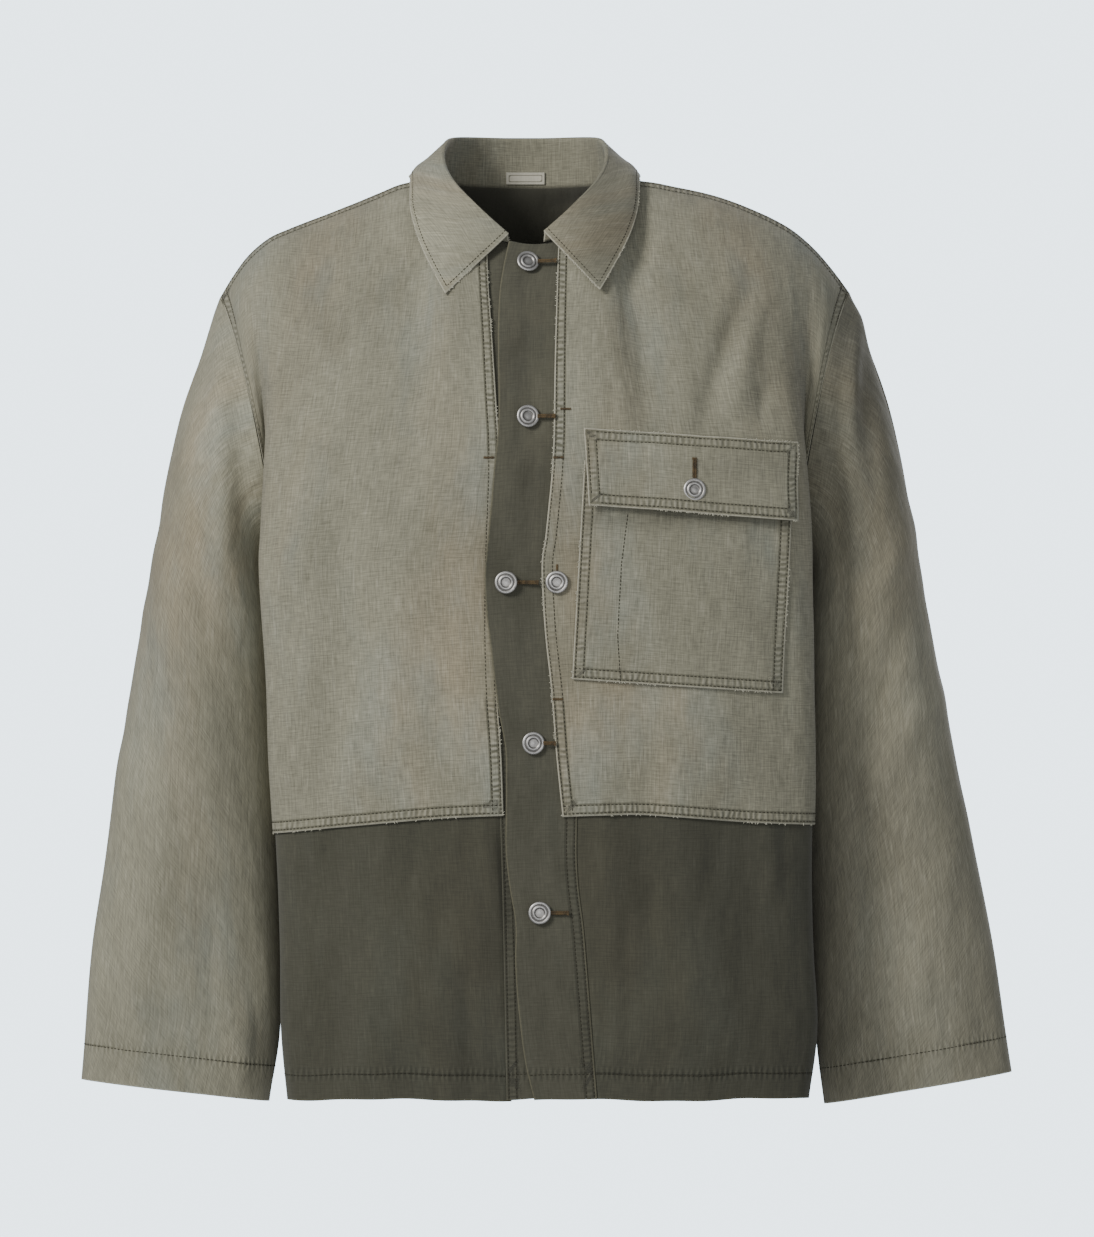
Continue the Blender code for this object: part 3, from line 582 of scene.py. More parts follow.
def stripGrid(outer, inner, count, rows, low, topOut):      # its top leans over to the neckline
    grid = []
    for j in range(rows + 1):
        share = j / rows
        height = low + (-75.0 - low) * min(share / 0.9, 1.0)
        start, end = through(outer, height)[0], through(inner, height)[0]
        row = []
        for k in range(count + 1):
            place, rise = locate(round(start + (end - start) * k / count, 3), round(height, 3))
            if share > 0.9:
                blend = (share - 0.9) / 0.1
                place += (topOut[0] + (topOut[1] - topOut[0]) * k / count - place) * blend
                rise += (2 - rise) * blend
            row.append(surface(place, rise, True))
        grid.append(row)
    return np.array(grid)


def patchGrid(corners, count, rows):        # four corners in the front view, low left first
    lowLeft, lowRight, highRight, highLeft = (np.array(corner) for corner in corners)
    grid = []
    for j in range(rows + 1):
        up = j / rows
        start, end = lowLeft + (highLeft - lowLeft) * up, lowRight + (highRight - lowRight) * up
        spots = [start + (end - start) * k / count for k in range(count + 1)]
        grid.append([surface(*locate(round(x, 3), round(z, 3)), True) for x, z in spots])
    return np.array(grid)


sleeve = {                          # share down the arm, outer edge out and up, inner edge out and up, depth
    -1: ((0.0, -307.5, -338.0, -208.1, -348.0, 66.0), (0.35, -327.7, -455.9, -205.1, -464.9, 58.0),
         (0.7, -344.9, -581.8, -201.1, -591.9, 45.0), (0.9, -353.2, -668.5, -202.6, -678.6, 37.0),
         (1.0, -356.2, -702.0, -209.1, -719.0, 35.0)),
    1: ((0.0, 309.2, -338.0, 211.5, -348.0, 66.0), (0.35, 329.8, -450.8, 212.5, -460.9, 58.0),
        (0.7, 355.5, -576.8, 217.6, -586.9, 45.0), (0.9, 369.5, -664.4, 223.1, -678.6, 37.0),
        (1.0, 374.6, -696.0, 228.4, -721.0, 35.0)),
    "back": 16.0,
}


def armhole(side, turn):            # once round, from the underarm up the front
    return surface(float(side), 2 - 2 * turn if turn <= 0.5 else 2 * turn, turn <= 0.5)


def sleeveRing(side, share, turn):  # one round of the sleeve, from underarm to cuff
    outX, outZ, inX, inZ, depth = through(sleeve[side], share)
    cos, sin = math.cos(turn * 2 * math.pi), math.sin(turn * 2 * math.pi)
    across = math.copysign(abs(cos) ** 0.9, cos)
    return np.array([(outX + inX) / 2 + (outX - inX) / 2 * across,
                     sleeve["back"] - depth * math.copysign(abs(sin) ** 0.9, sin),
                     (outZ + inZ) / 2 + (outZ - inZ) / 2 * across])


def sleevePoint(side, turn, down):  # down: 0 armhole, 1 first free ring, 2 cuff
    if down >= 1:
        return sleeveRing(side, down - 1, turn)
    start, end = armhole(side, turn), sleeveRing(side, 0.0, turn)
    seam = unit(armhole(side, (turn + 0.004) % 1.0) - armhole(side, (turn - 0.004) % 1.0))
    under = math.sin(math.pi * turn) ** 2
    hang = np.array([side * (0.38 + 0.57 * under), 0.0, -0.92 + 0.63 * under])
    start = start + np.array([side * 1.1 * under, 0.0, 0.0])
    leave = unit(hang - seam * np.dot(hang, seam) * 0.85)
    arrive = unit(sleeveRing(side, 0.05, turn) - end)
    reach = np.linalg.norm(end - start)
    return hermite(start, leave * reach, end, arrive * reach, down)


def sleeveGrid(side):
    downs = [k / 6 for k in range(6)] + [1 + k / 8 for k in range(9)]
    grid = np.array([[sleevePoint(side, k / 22, down) for k in range(22)] for down in downs])
    grid[0] += unit(grid[1] - grid[0]) * 0.03
    return grid


collar = {                          # angle round the neck and height of the roll; then share and edge of each side
    "roll": ((0, 38.5), (60, 37.5), (80, 30.5), (100, 17.0), (122, 1.0), (142, -14.0), (156, -27.0),
             (172, -43.0)),
    "rollHalf": 65.0, "gap": 1.8, "ends": {-1: 170.0, 1: 168.0},
    -1: ((0.0, -8.0, 92.0, -10.0), (0.28, -80.0, 66.0, -9.0), (0.5, -97.0, 14.0, 8.5),
         (0.62, -97.5, -24.0, -1.5), (0.74, -97.0, -52.0, -22.0), (0.87, -87.5, -80.0, -53.0),
         (1.0, -69.7, -99.0, -87.8)),
    1: ((0.0, -8.0, 92.0, -10.0), (0.28, 62.0, 66.0, -9.0), (0.5, 80.5, 14.0, 9.0),
        (0.62, 81.5, -26.0, 0.5), (0.74, 80.0, -53.0, -21.0), (0.87, 71.5, -79.0, -47.0),
        (1.0, 50.7, -100.0, -85.0)),
}


def neckPoint(side, angle):
    share = math.degrees(math.asin(min(1.0, math.sin(math.radians(angle))))) / 90 * jacket["neckShare"]
    return topEdge(side * share, angle > 90)


def collarColumn(side, share):      # from the neck seam over the roll to the outer edge
    angle = collar["ends"][side] * share
    turn = math.radians(angle)
    seam = neckPoint(side, angle) + np.array([0, 0, 1.9])
    roll = np.array([jacket["neckX"] + side * collar["rollHalf"] * math.sin(turn) ** 0.9,
                     jacket["seamForward"] + 4 + (78.0 if angle < 90 else 68.0) * math.cos(turn),
                     through(collar["roll"], angle)[0]])
    roll[2] = max(roll[2], seam[2] + 2.6)
    outward = unit(np.array([side * math.sin(turn), math.cos(turn) * 0.9 + 1e-6, 0.0]))
    edge = through(collar[side], share)
    gap = collar["gap"]
    points = [seam, seam + (roll - seam) * 0.55 - outward * 0.5, roll - outward * gap - np.array([0, 0, 1.2]),
              roll + np.array([0, 0, 0.6]), roll + outward * gap - np.array([0, 0, 1.0])]
    span = np.linalg.norm(edge - points[-1])
    leave = (outward * 0.75 + np.array([0, 0, -0.66])) * span
    arrive = np.array([side * 0.2 * math.sin(turn), 0.25 * math.cos(turn), -0.95]) * span
    straight = ease(share, 0.7, 1.0)
    leave, arrive = (way + (edge - points[-1] - way) * straight for way in (leave, arrive))
    return points + [hermite(points[-1], leave, edge, arrive, u) for u in (0.33, 0.66, 1.0)]


def collarGrid():
    made = [collarColumn(-1, k / 15) for k in range(15, 0, -1)] + [collarColumn(1, k / 15) for k in range(16)]
    return np.array(made).transpose(1, 0, 2)


class Flow:                         # one shader socket, with ordinary arithmetic
    def __init__(self, tree, socket):
        self.tree = tree
        self.socket = socket

    def node(self, kind, inputs=(), out=0, **settings):
        made = self.tree.nodes.new(kind)
        for name, value in settings.items():
            setattr(made, name, value)
        self.fill(made, dict(inputs))
        return Flow(self.tree, made.outputs[out])

    def fill(self, node, inputs):   # links or plain values into a node's sockets
        for key, value in inputs.items():
            if isinstance(value, Flow):
                self.tree.links.new(value.socket, node.inputs[key])
            else:
                node.inputs[key].default_value = value

    def plain(self, colour):
        made = self.node("ShaderNodeRGB")
        made.socket.default_value = (*colour, 1.0)
        return made

    def math(self, operation, *others):
        inputs = {0: self, **{k + 1: other for k, other in enumerate(others)}}
        return self.node("ShaderNodeMath", inputs, operation=operation)

    def __add__(self, other):
        return self.math("ADD", other)

    __radd__ = __add__

    def __mul__(self, other):
        return self.math("MULTIPLY", other)

    __rmul__ = __mul__

    def __sub__(self, other):
        return self.math("SUBTRACT", other)

    def __rsub__(self, other):
        return (self * -1.0).math("ADD", other)

    def step(self, low, high):      # smoothly from 0 at low to 1 at high
        return self.node("ShaderNodeMapRange", {0: self, 1: low, 2: high, 3: 0.0, 4: 1.0},
                         interpolation_type="SMOOTHSTEP")

    def within(self, start, full, leave, gone):     # 1 from full to leave, fading to 0 at start and gone
        return self.step(start, full) * (1.0 - self.step(leave, gone))

    def noise(self, scale, stretch=(1, 1, 1), detail=3.0):
        spread = self.node("ShaderNodeMapping", {0: self, 3: stretch})
        return self.node("ShaderNodeTexNoise", {"Vector": spread, "Scale": scale, "Detail": detail,
                                                "Roughness": 0.55})

    def blend(self, other, share):  # towards another colour
        colour = other if isinstance(other, Flow) else (*other, 1.0)
        return self.node("ShaderNodeMix", {0: share, 6: self, 7: colour}, out=2, data_type="RGBA")

    def shade(self, amount):        # a colour times a value
        return self.node("ShaderNodeVectorMath", {0: self, 1: amount}, operation="MULTIPLY")


def newMaterial(name, onWeave=False):       # its pattern lies on the weave, or on the object
    made = bpy.data.materials.new(name)
    made.use_nodes = True
    nodes = made.node_tree.nodes
    kind = "ShaderNodeUVMap" if onWeave else "ShaderNodeTexCoord"
    place = Flow(made.node_tree, nodes.new(kind).outputs["UV" if onWeave else "Object"])
    if onWeave:
        place.socket.node.uv_map = "weave"
    return made, nodes["Principled BSDF"], place


def attribute(flow, name):
    return flow.node("ShaderNodeAttribute", out=2, attribute_name=name)


weave = {                           # scale, stretch and detail of each pattern on the cloth
    "warmth": (7.0, (1.0, 0.45, 1.0)), "coolness": (13.0, (1.3, 0.5, 1.0), 4.0),
    "cloud": (11.0, (1.5, 0.5, 1.0), 4.0), "streak": (430.0, (1.0, 0.09, 1.0)),
    "warp": (980.0, (1.0, 0.075, 1.0)), "weft": (980.0, (0.1, 1.0, 1.0)), "ragged": (420.0,),
    "jitter": (90.0, (1, 1, 1), 2.0), "tight": (70.0, (1, 1, 1), 2.0),
    "creases": (34.0, (1.0, 0.55, 1.0), 4.0), "crumple": (15.0, (1.7, 0.5, 1.0), 2.0),
}
seamBand = {                        # millimetres from the edge
    "drawn": (1.6, 3.4, 6.6, 9.0), "spread": (0.6, 2.2, 8.6, 13.0),
    "outerRow": (0.8, 1.8, 2.6, 3.6), "innerRow": (7.2, 8.2, 9.0, 10.2),
    "hemRow": (0.5, 1.5), "hemSpread": (1.5, 8.0), "frame": (1.6, 2.0, 2.3, 2.7),
}
surfaced = {
    "ripstopLine": 0.00045, "gloss": 0.22, "sheenRough": 0.6, "relief": 0.0009, "reliefShare": 0.75,
    # the two hem pucker shares are painted shade in the troughs and painted highlight on the crests
    "seamDark": 0.85, "hemDark": 0.6, "hemPuckerPaintedShade": 0.3, "hemPuckerPaintedHighlight": 0.16,
}


def clothFinish(name, look):        # woven, washed and drawn up beside its seams
    made, shader, uv = newMaterial(name, onWeave=True)
    pattern = {key: uv.noise(*values) for key, values in weave.items()}
    mottle = uv.noise(look["mottleScale"], detail=4.0)
    heather = pattern["warp"] + pattern["weft"]
    split = uv.node("ShaderNodeSeparateXYZ", {0: uv})
    lines = [Flow(uv.tree, split.socket.node.outputs[k]).math("PINGPONG", look["ripstop"]).step(
        0.0, surfaced["ripstopLine"]) for k in range(2)]
    rips = 1.0 - lines[0] * lines[1]
    # washing lifts the colour off unevenly, in random patches; the darker laps beside the seams are painted shade in
    # the pucker troughs below
    colour = uv.plain(look["base"]).blend(look["warm"], pattern["warmth"].step(0.45, 0.72) * look["warmShare"])
    colour = colour.blend(look["cool"], pattern["coolness"].step(0.47, 0.72) * look["coolShare"])
    colour = colour.blend(look["deep"], mottle.step(0.42, 0.75) * look["mottle"])
    colour = colour.blend(look["pale"], pattern["streak"].step(0.5, 0.78) * look["streak"])
    colour = colour.shade((heather - 1.0) * look["heather"] + 1.0)
    colour = colour.shade((pattern["cloud"] - 0.5) * look["cloud"] + 1.0)
    # painted light and shade: the per-piece patches lighten and darken the colour here
    colour = colour.shade(attribute(uv, "shadeAndTone") + 1.0)
    colour = colour.shade(rips * -look["rips"] + 1.0)
    # rows of stitches draw the cloth up into rungs between them; the rungs get painted shade in their troughs and a
    # painted highlight on their crests
    across, along, hemline, edge, inside, pucker = (
        attribute(uv, key) for key in ("across", "along", "hemline", "edge", "inside", "pucker"))
    outside = 1.0 - inside
    strength = pucker * outside
    wave = ((along + pattern["jitter"] * 4.5) * (2 * math.pi / look["puckerPitch"])).math("SINE")
    # high marks the pucker crests and low the troughs, for the painted highlight and painted shade
    high, low = wave.step(0.1, 0.9), (wave * -1.0).step(-0.2, 0.8)
    drawn = across.within(*seamBand["drawn"]) * strength * (pattern["tight"].step(0.38, 0.6) * 0.8 + 0.2)
    spread = across.within(*seamBand["spread"]) * strength
    rows = (across.within(*seamBand["outerRow"]) + across.within(*seamBand["innerRow"])) * strength
    hemRow = (1.0 - hemline.step(*seamBand["hemRow"])) * outside
    hemSpread = (1.0 - hemline.step(*seamBand["hemSpread"])) * outside
    # painted shade in the pucker troughs beside the seams
    colour = colour.blend(look["deep"], drawn * low * look["puckerPaintedShade"])
    colour = colour.blend(look["deep"], rows * surfaced["seamDark"])
    # painted shade in the hem's pucker troughs and painted highlight on their crests
    hemPaintedShade, hemPaintedHighlight = hemSpread * low * surfaced["hemPuckerPaintedShade"], hemSpread * high * surfaced["hemPuckerPaintedHighlight"]
    colour = colour.blend(look["deep"], hemRow * surfaced["hemDark"] + hemPaintedShade)
    # painted highlight on the pucker crests
    colour = colour.blend(look["pale"], drawn * high * look["puckerPaintedHighlight"] + hemPaintedHighlight)
    fray = edge + (pattern["ragged"] - 0.5) * 2.2
    colour = colour.blend(look["rim"], (1.0 - fray.step(0.5, 1.3)) * look["rimShare"])
    if "frame" in look:             # a woven line round the tab
        colour = colour.blend(look["frame"], edge.within(*seamBand["frame"]) * 0.85)
    colour = colour.blend(look["reverse"], inside)
    height = (heather * 0.12 + rips * 0.03 + drawn * wave * 0.35 + spread * wave * 0.2
              - rows * 0.4 + hemSpread * wave * 0.3 - hemRow * 0.3
              + pattern["creases"] * 2.2 + pattern["crumple"] * look["crumple"])
    bump = uv.node("ShaderNodeBump", {"Height": height, "Strength": surfaced["reliefShare"],
                                      "Distance": surfaced["relief"]})
    uv.fill(shader, {
        "Base Color": colour, "Roughness": mottle * 0.12 + look["rough"], "Specular IOR Level": surfaced["gloss"],
        "Sheen Weight": look["sheen"], "Sheen Roughness": surfaced["sheenRough"], "Normal": bump})
    return made


lightLook = {
    "base": (0.206, 0.198, 0.145), "rough": 0.82, "sheen": 0.08,
    "warm": (0.228, 0.188, 0.123), "warmShare": 0.65, "cool": (0.17, 0.187, 0.162), "coolShare": 0.55,
    "deep": (0.085, 0.082, 0.055), "mottle": 0.2, "mottleScale": 16.0, "cloud": 0.75,
    "pale": (0.33, 0.315, 0.25), "streak": 0.3, "heather": 0.95, "rips": 0.13, "ripstop": 0.0016,
    # the pucker dark and pale shares are painted shade in the troughs and painted highlight on the crests
    "puckerPitch": 4.4, "puckerPaintedShade": 0.85, "puckerPaintedHighlight": 0.4, "crumple": 6.0,
    "rim": (0.37, 0.355, 0.28), "rimShare": 0.7, "reverse": (0.075, 0.073, 0.054),
}
# a darker, greyer copy of the light cloth for the wearer's left sleeve, on the side away from the key light: partly
# the sleeve's own tone, partly painted shade
sleeveToneAndShadeLook = {
    **lightLook, "base": (0.178, 0.168, 0.123), "warm": (0.186, 0.165, 0.113),
    "cool": (0.158, 0.163, 0.132), "coolShare": 0.4, "mottle": 0.24, "cloud": 0.45,
}
darkLook = {
    **lightLook, "base": (0.0525, 0.0515, 0.036), "warm": (0.061, 0.055, 0.035), "warmShare": 0.4,
    "cool": (0.046, 0.05, 0.039), "coolShare": 0.4, "deep": (0.021, 0.021, 0.014), "mottle": 0.22,
    "pale": (0.095, 0.093, 0.068), "streak": 0.2, "heather": 0.55, "rips": 0.1, "cloud": 0.7,
    # the pucker dark and pale shares are painted shade in the troughs and painted highlight on the crests
    "crumple": 9.0, "puckerPaintedShade": 0.5, "puckerPaintedHighlight": 0.22, "rim": (0.13, 0.12, 0.075), "rimShare": 0.5,
    "reverse": (0.02, 0.019, 0.013),
}
stripLook = {
    **darkLook, "base": (0.068, 0.066, 0.047), "warm": (0.078, 0.07, 0.046), "cool": (0.06, 0.064, 0.05),
}
tabLook = {
    **lightLook, "base": (0.46, 0.44, 0.36), "warm": (0.44, 0.4, 0.31), "cool": (0.42, 0.43, 0.37),
    "deep": (0.26, 0.25, 0.2), "pale": (0.55, 0.53, 0.45), "rim": (0.36, 0.35, 0.29), "rips": 0.02,
    "reverse": (0.4, 0.38, 0.3), "frame": (0.11, 0.105, 0.08), "heather": 0.3,
}


def threadFinish(name, base, dark):
    made, shader, place = newMaterial(name)
    colour = place.plain(base).blend(dark, place.noise(260.0).step(0.35, 0.7))
    place.fill(shader, {"Base Color": colour, "Roughness": 0.8, "Specular IOR Level": 0.25})
    return made


def metalFinish(name, base, tarnish, rough):
    made, shader, place = newMaterial(name)
    stain = place.noise(300.0, detail=4.0)
    scratch = place.noise(900.0, (1.0, 1.0, 0.2))
    worn = (attribute(place, "dip") * 0.85 + stain.step(0.5, 0.8) * 0.35).math("MINIMUM", 1.0)
    place.fill(shader, {
        "Base Color": place.plain(base).blend(tarnish, worn), "Roughness": scratch * 0.22 + rough, "Metallic": 1.0,
        "Normal": place.node("ShaderNodeBump", {"Height": stain + scratch * 0.5, "Strength": 0.25,
                                                "Distance": 0.0002})})
    return made


# every stitch is a small bead of thread on a line of places
def stitchTree():
    tree = bpy.data.node_groups.new("stitchRows", "GeometryNodeTree")
    ids = {}
    for name, kind in (("Geometry", "Geometry"), ("Length", "Float"), ("Width", "Float"), ("Height", "Float"),
                       ("Thread", "Material")):
        ids[name] = tree.interface.new_socket(name, in_out="INPUT", socket_type="NodeSocket" + kind).identifier
    tree.interface.new_socket("Geometry", in_out="OUTPUT", socket_type="NodeSocketGeometry")
    given = {socket.name: Flow(tree, socket) for socket in tree.nodes.new("NodeGroupInput").outputs if socket.name}
    rows = given["Geometry"]

    def read(name, kind):           # an attribute of the rows' points
        return rows.node("GeometryNodeInputNamedAttribute", {"Name": name}, "Attribute", data_type=kind)

    bead = rows.node("GeometryNodeMeshUVSphere", {"Segments": 6, "Rings": 4, "Radius": 0.5}, "Mesh")
    turn = rows.node("FunctionNodeAxesToRotation", {"Primary Axis": read("facing", "FLOAT_VECTOR"),
                                                    "Secondary Axis": read("thread", "FLOAT_VECTOR")},
                     "Rotation", primary_axis="Z", secondary_axis="X")
    size = rows.node("ShaderNodeCombineXYZ", {0: given["Length"], 1: given["Width"], 2: given["Height"]}, "Vector")
    size = rows.node("ShaderNodeVectorMath", {0: size, "Scale": read("size", "FLOAT")}, "Vector", operation="SCALE")
    beads = rows.node("GeometryNodeInstanceOnPoints",
                      {"Points": rows, "Instance": bead, "Rotation": turn, "Scale": size}, "Instances")
    solid = rows.node("GeometryNodeRealizeInstances", {"Geometry": beads}, "Geometry")
    smooth = rows.node("GeometryNodeSetShadeSmooth", {"Geometry": solid}, "Geometry")
    coloured = rows.node("GeometryNodeSetMaterial", {"Geometry": smooth, "Material": given["Thread"]}, "Geometry")
    rows.fill(tree.nodes.new("NodeGroupOutput"), {"Geometry": coloured})
    return tree, ids


def sewn(name, rows, look, material):       # rows: lists of (points, directions, normals)
    points, threads, facings = (np.concatenate(part) for part in zip(*rows))
    facings = unit(facings)
    shake = np.random.default_rng(look["seed"])
    mesh = bpy.data.meshes.new(name)
    mesh.vertices.add(len(points))
    mesh.vertices.foreach_set("co", ((points + facings * look["proud"]) * mm).ravel())
    for label, values in (("thread", threads), ("facing", facings)):
        mesh.attributes.new(label, "FLOAT_VECTOR", "POINT").data.foreach_set("vector", values.ravel())
    mesh.attributes.new("size", "FLOAT", "POINT").data.foreach_set(
        "value", shake.uniform(0.85, 1.12, len(points)).astype(np.float32))
    holder = placed(name, mesh)
    modifier = holder.modifiers.new("rows", "NODES")
    modifier.node_group, ids = stitching
    for key in ("Length", "Width", "Height"):
        modifier[ids[key]] = look[key.lower()] * mm
    modifier[ids["Thread"]] = material
    plain = bpy.data.meshes.new_from_object(holder.evaluated_get(bpy.context.evaluated_depsgraph_get()))
    holder.modifiers.clear()
    holder.data = plain
    print(name, len(points), "stitches")
    return holder


def rowOf(line, pitch):             # running stitches along a line
    points, normals = line
    run = runAlong(points)
    at = np.arange(pitch / 2, run[-1], pitch)
    threads = readAt(points, run, at + 0.6) - readAt(points, run, at - 0.6)
    return readAt(points, run, at), threads, readAt(normals, run, at)


def onFront(x, z, lift):            # a point and normal on the dressed front
    place, rise = locate(round(x, 3), round(z, 3))
    tiny = 0.004
    across = surface(min(place + tiny, 1.0), rise, True) - surface(max(place - tiny, -1.0), rise, True)
    along = surface(place, min(rise + tiny, 2.0), True) - surface(place, max(rise - tiny, 0.0), True)
    normal = unit(np.cross(across, along))
    base = surface(place, rise, True)
    return base + normal * (lift + float(foldLift(base, "front"))), normal


def straightRow(start, end, lift, pitch=3.0):
    count = max(int(math.dist(start, end) / 2), 2)
    spots = [onFront(*(a + (b - a) * k / count for a, b in zip(start, end)), lift) for k in range(count + 1)]
    return rowOf([np.array(part) for part in zip(*spots)], pitch)


def satin(start, end, lift, half, ring=True):   # close stitches laid across a short line
    start, end = np.array(start, float), np.array(end, float)
    length = math.dist(start, end)
    direction = (end - start) / length
    side = np.array([-direction[1], direction[0]])
    points, threads, normals = [], [], []
    pitch = satinStitch["pitch"]
    for k in range(int(length / pitch) + 1):
        spot = start + direction * k * pitch
        for offset in ((-half, half) if ring else (0.0,)):
            point, normal = onFront(*(spot + side * offset), lift)
            points.append(point)
            threads.append([side[0], 0.0, side[1]])
            normals.append(normal)
    return np.array(points), np.array(threads), np.array(normals)


button = {
    "sides": 40,
    # radius, height, and how deep in the tarnish
    "profile": ((0.0, -0.4, 1.0), (5.5, -0.4, 1.0), (7.2, 0.1, 0.9), (8.5, 0.8, 0.4), (8.9, 1.5, 0.1),
                (8.8, 2.1, 0.0), (8.2, 2.6, 0.0), (7.4, 2.75, 0.1), (6.8, 2.5, 0.5), (6.4, 2.25, 1.0),
                (6.0, 2.3, 0.9), (5.4, 2.75, 0.1), (4.7, 2.95, 0.0), (4.1, 2.7, 0.3), (3.8, 2.2, 1.0),
                (3.2, 2.05, 0.7), (1.6, 2.3, 0.3), (0.0, 2.4, 0.2)),
}


def makeButton(name, node, material):       # turned on the solid button's own place and facing
    points = np.array([v.co[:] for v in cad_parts[node].data.vertices]) / mm
    middle = points.mean(axis=0)
    _, _, axes = np.linalg.svd(points - middle, full_matrices=False)
    normal = axes[2] * (1 if axes[2][1] < 0 else -1)
    base = middle + normal * ((points - middle) @ normal).min()
    across = unit(np.cross(normal, (0, 0, 1.0)))
    upward = np.cross(normal, across)
    sides = button["sides"]
    made, dips, faces = [], [], []
    for radius, height, dip in button["profile"]:
        for k in range(sides if radius else 1):
            angle = 2 * math.pi * k / sides
            made.append(base + normal * (height + 0.15)
                        + radius * (across * math.cos(angle) + upward * math.sin(angle)))
            dips.append(dip)
    for k in range(sides):
        beside = (k + 1) % sides
        faces.append((0, 1 + k, 1 + beside))
        for ring in range(len(button["profile"]) - 3):
            a = 1 + ring * sides
            faces.append((a + k, a + sides + k, a + sides + beside, a + beside))
        last = len(made) - 1 - sides
        faces.append((last + k, len(made) - 1, last + beside))
    if np.dot(np.cross(across, upward), normal) > 0:
        faces = [face[::-1] for face in faces]
    mesh = bpy.data.meshes.new(name)
    mesh.from_pydata([tuple(point * mm) for point in made], [], faces)
    mesh.polygons.foreach_set("use_smooth", np.ones(len(mesh.polygons), bool))
    mesh.attributes.new("dip", "FLOAT", "POINT").data.foreach_set("value", np.array(dips, np.float32))
    mesh.materials.append(material)
    mesh.update()
    return placed(name, mesh)


def drawnIn(grid, names, amount=0.03):      # stops these edges just short of their seam, or past it
    grid = grid.copy()
    for name in names:
        edge, beside = {"right": (np.s_[:, -1], np.s_[:, -2]), "left": (np.s_[:, 0], np.s_[:, 1]),
                        "top": (np.s_[-1], np.s_[-2]), "bottom": (np.s_[0], np.s_[1])}[name]
        grid[edge] = grid[edge] + unit(grid[beside] - grid[edge]) * amount
    return grid


def dressed(cloth, group, still=()):        # folded, but still along its seams
    amount = foldLift(cloth.grid, group)
    for name in still:
        amount = amount * ease(cloth.toEdge[name], 0.0, 22.0)
    cloth.lift(amount)
    return cloth


def heightPucker(cloth):            # drawn up between tacks, smooth elsewhere
    z = cloth.grid[..., 2]
    tight = ease(-z, 45, 70) * (1 - ease(-z, 205, 225)) + ease(-z, 395, 410) * (1 - ease(-z, 478, 495))
    nearCentre = cloth.toEdge["left"] < 14.0
    return np.where(nearCentre, 0.2 + 0.8 * tight, 0.75)


lightCloth = clothFinish("washedKhaki", lightLook)
# the sleeve cloth is the darker copy: partly the sleeve's own tone, partly painted shade
sleeveToneAndShadeCloth = clothFinish("washedKhakiSleeve", sleeveToneAndShadeLook)
darkCloth = clothFinish("darkOlive", darkLook)
stripCloth = clothFinish("darkOliveStrip", stripLook)
tabCloth = clothFinish("creamTab", tabLook)
thread = threadFinish("oliveThread", (0.04, 0.036, 0.024), (0.022, 0.02, 0.013))
goldThread = threadFinish("goldThread", (0.1, 0.068, 0.032), (0.05, 0.036, 0.02))
paleThread = threadFinish("paleThread", (0.42, 0.41, 0.33), (0.28, 0.27, 0.21))
pewterMetal = metalFinish("pewterMetal", (0.42, 0.41, 0.39), (0.075, 0.068, 0.06), 0.34)
stitching = stitchTree()
stitch = {"length": 2.5, "width": 0.75, "height": 0.6, "proud": 0.08, "seed": 4, "pitch": 3.1}
frayHair = {"length": 2.3, "width": 0.62, "height": 0.5, "proud": 0.1, "seed": 17}
satinStitch = {"length": 2.1, "width": 0.6, "height": 0.6, "proud": 0.2, "seed": 9, "pitch": 0.45}

hem, cuff = 20.0, 28.0              # turned up and sewn this far in
fine = {                            # rows and columns of each piece's mesh
    "front": (112, 84), "sleeve": (150, 96), "lowFront": (58, 76), "back": (112, 150), "lowBack": (58, 150),
    "strip": (170, 18), "under": (170, 14), "pocket": (52, 50), "flap": (24, 50), "collar": (44, 150),
    "label": (8, 16),
}
made, cloths = {}, {}
# mostly painted light and shade, partly the panels' own tone: x, z, half width, half height, share
paintedShadeAndTone = {
    # painted light on the collar leaf at the wearer's right, which faces the key light; painted shade on the leaf at
    # the wearer's left and round the back of the neck
    "collar": ((-75, -45, 32, 60, 0.36), (60, -45, 36, 60, -0.44), (-10, 20, 60, 26, -0.34)),
    # painted light on the wearer's right sleeve, strongest in a strip along its inner edge where the body shades it
    "sleeve_right": ((-250, -200, 40, 120, 0.15), (-330, -560, 40, 120, 0.08), (-216, -330, 15, 160, 0.7),
                     (-210, -560, 14, 120, 0.6)),
    # painted shade at the top of the wearer's left sleeve, below the shoulder; painted light lower down
    "sleeve_left": ((250, -160, 30, 90, -0.3), (270, -380, 60, 110, 0.35), (300, -600, 70, 90, 0.2)),
    "front_right": ((-75, -400, 60, 110, 0.12), (-170, -80, 50, 60, -0.1), (-110, -240, 50, 60, 0.06)),
    "front_left": ((60, -380, 50, 60, 0.1), (150, -120, 50, 70, -0.08), (40, -100, 20, 60, 0.08),
                   (170, -450, 30, 40, -0.1)),
    "lower_front_right": ((-130, -590, 50, 60, 0.12), (-40, -620, 20, 80, -0.12)),
    "lower_front_left": ((120, -560, 50, 60, -0.08), (70, -640, 20, 60, 0.12)),
    "placket_left": ((-5, -180, 20, 40, 0.15), (12, -640, 40, 110, -0.03)),
    # painted shadow on the pocket below the flap; the flap's own face lighter at its left end and darker at its
    # right end
    "pocket": ((120, -262, 120, 9, -0.34),),
    "pocket_flap": ((90, -212, 26, 20, 0.08), (160, -216, 20, 16, -0.07)),
}


def standsFor(piece, node):   # takes this solid's place on the one body
    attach(piece, "root")
    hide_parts(node)


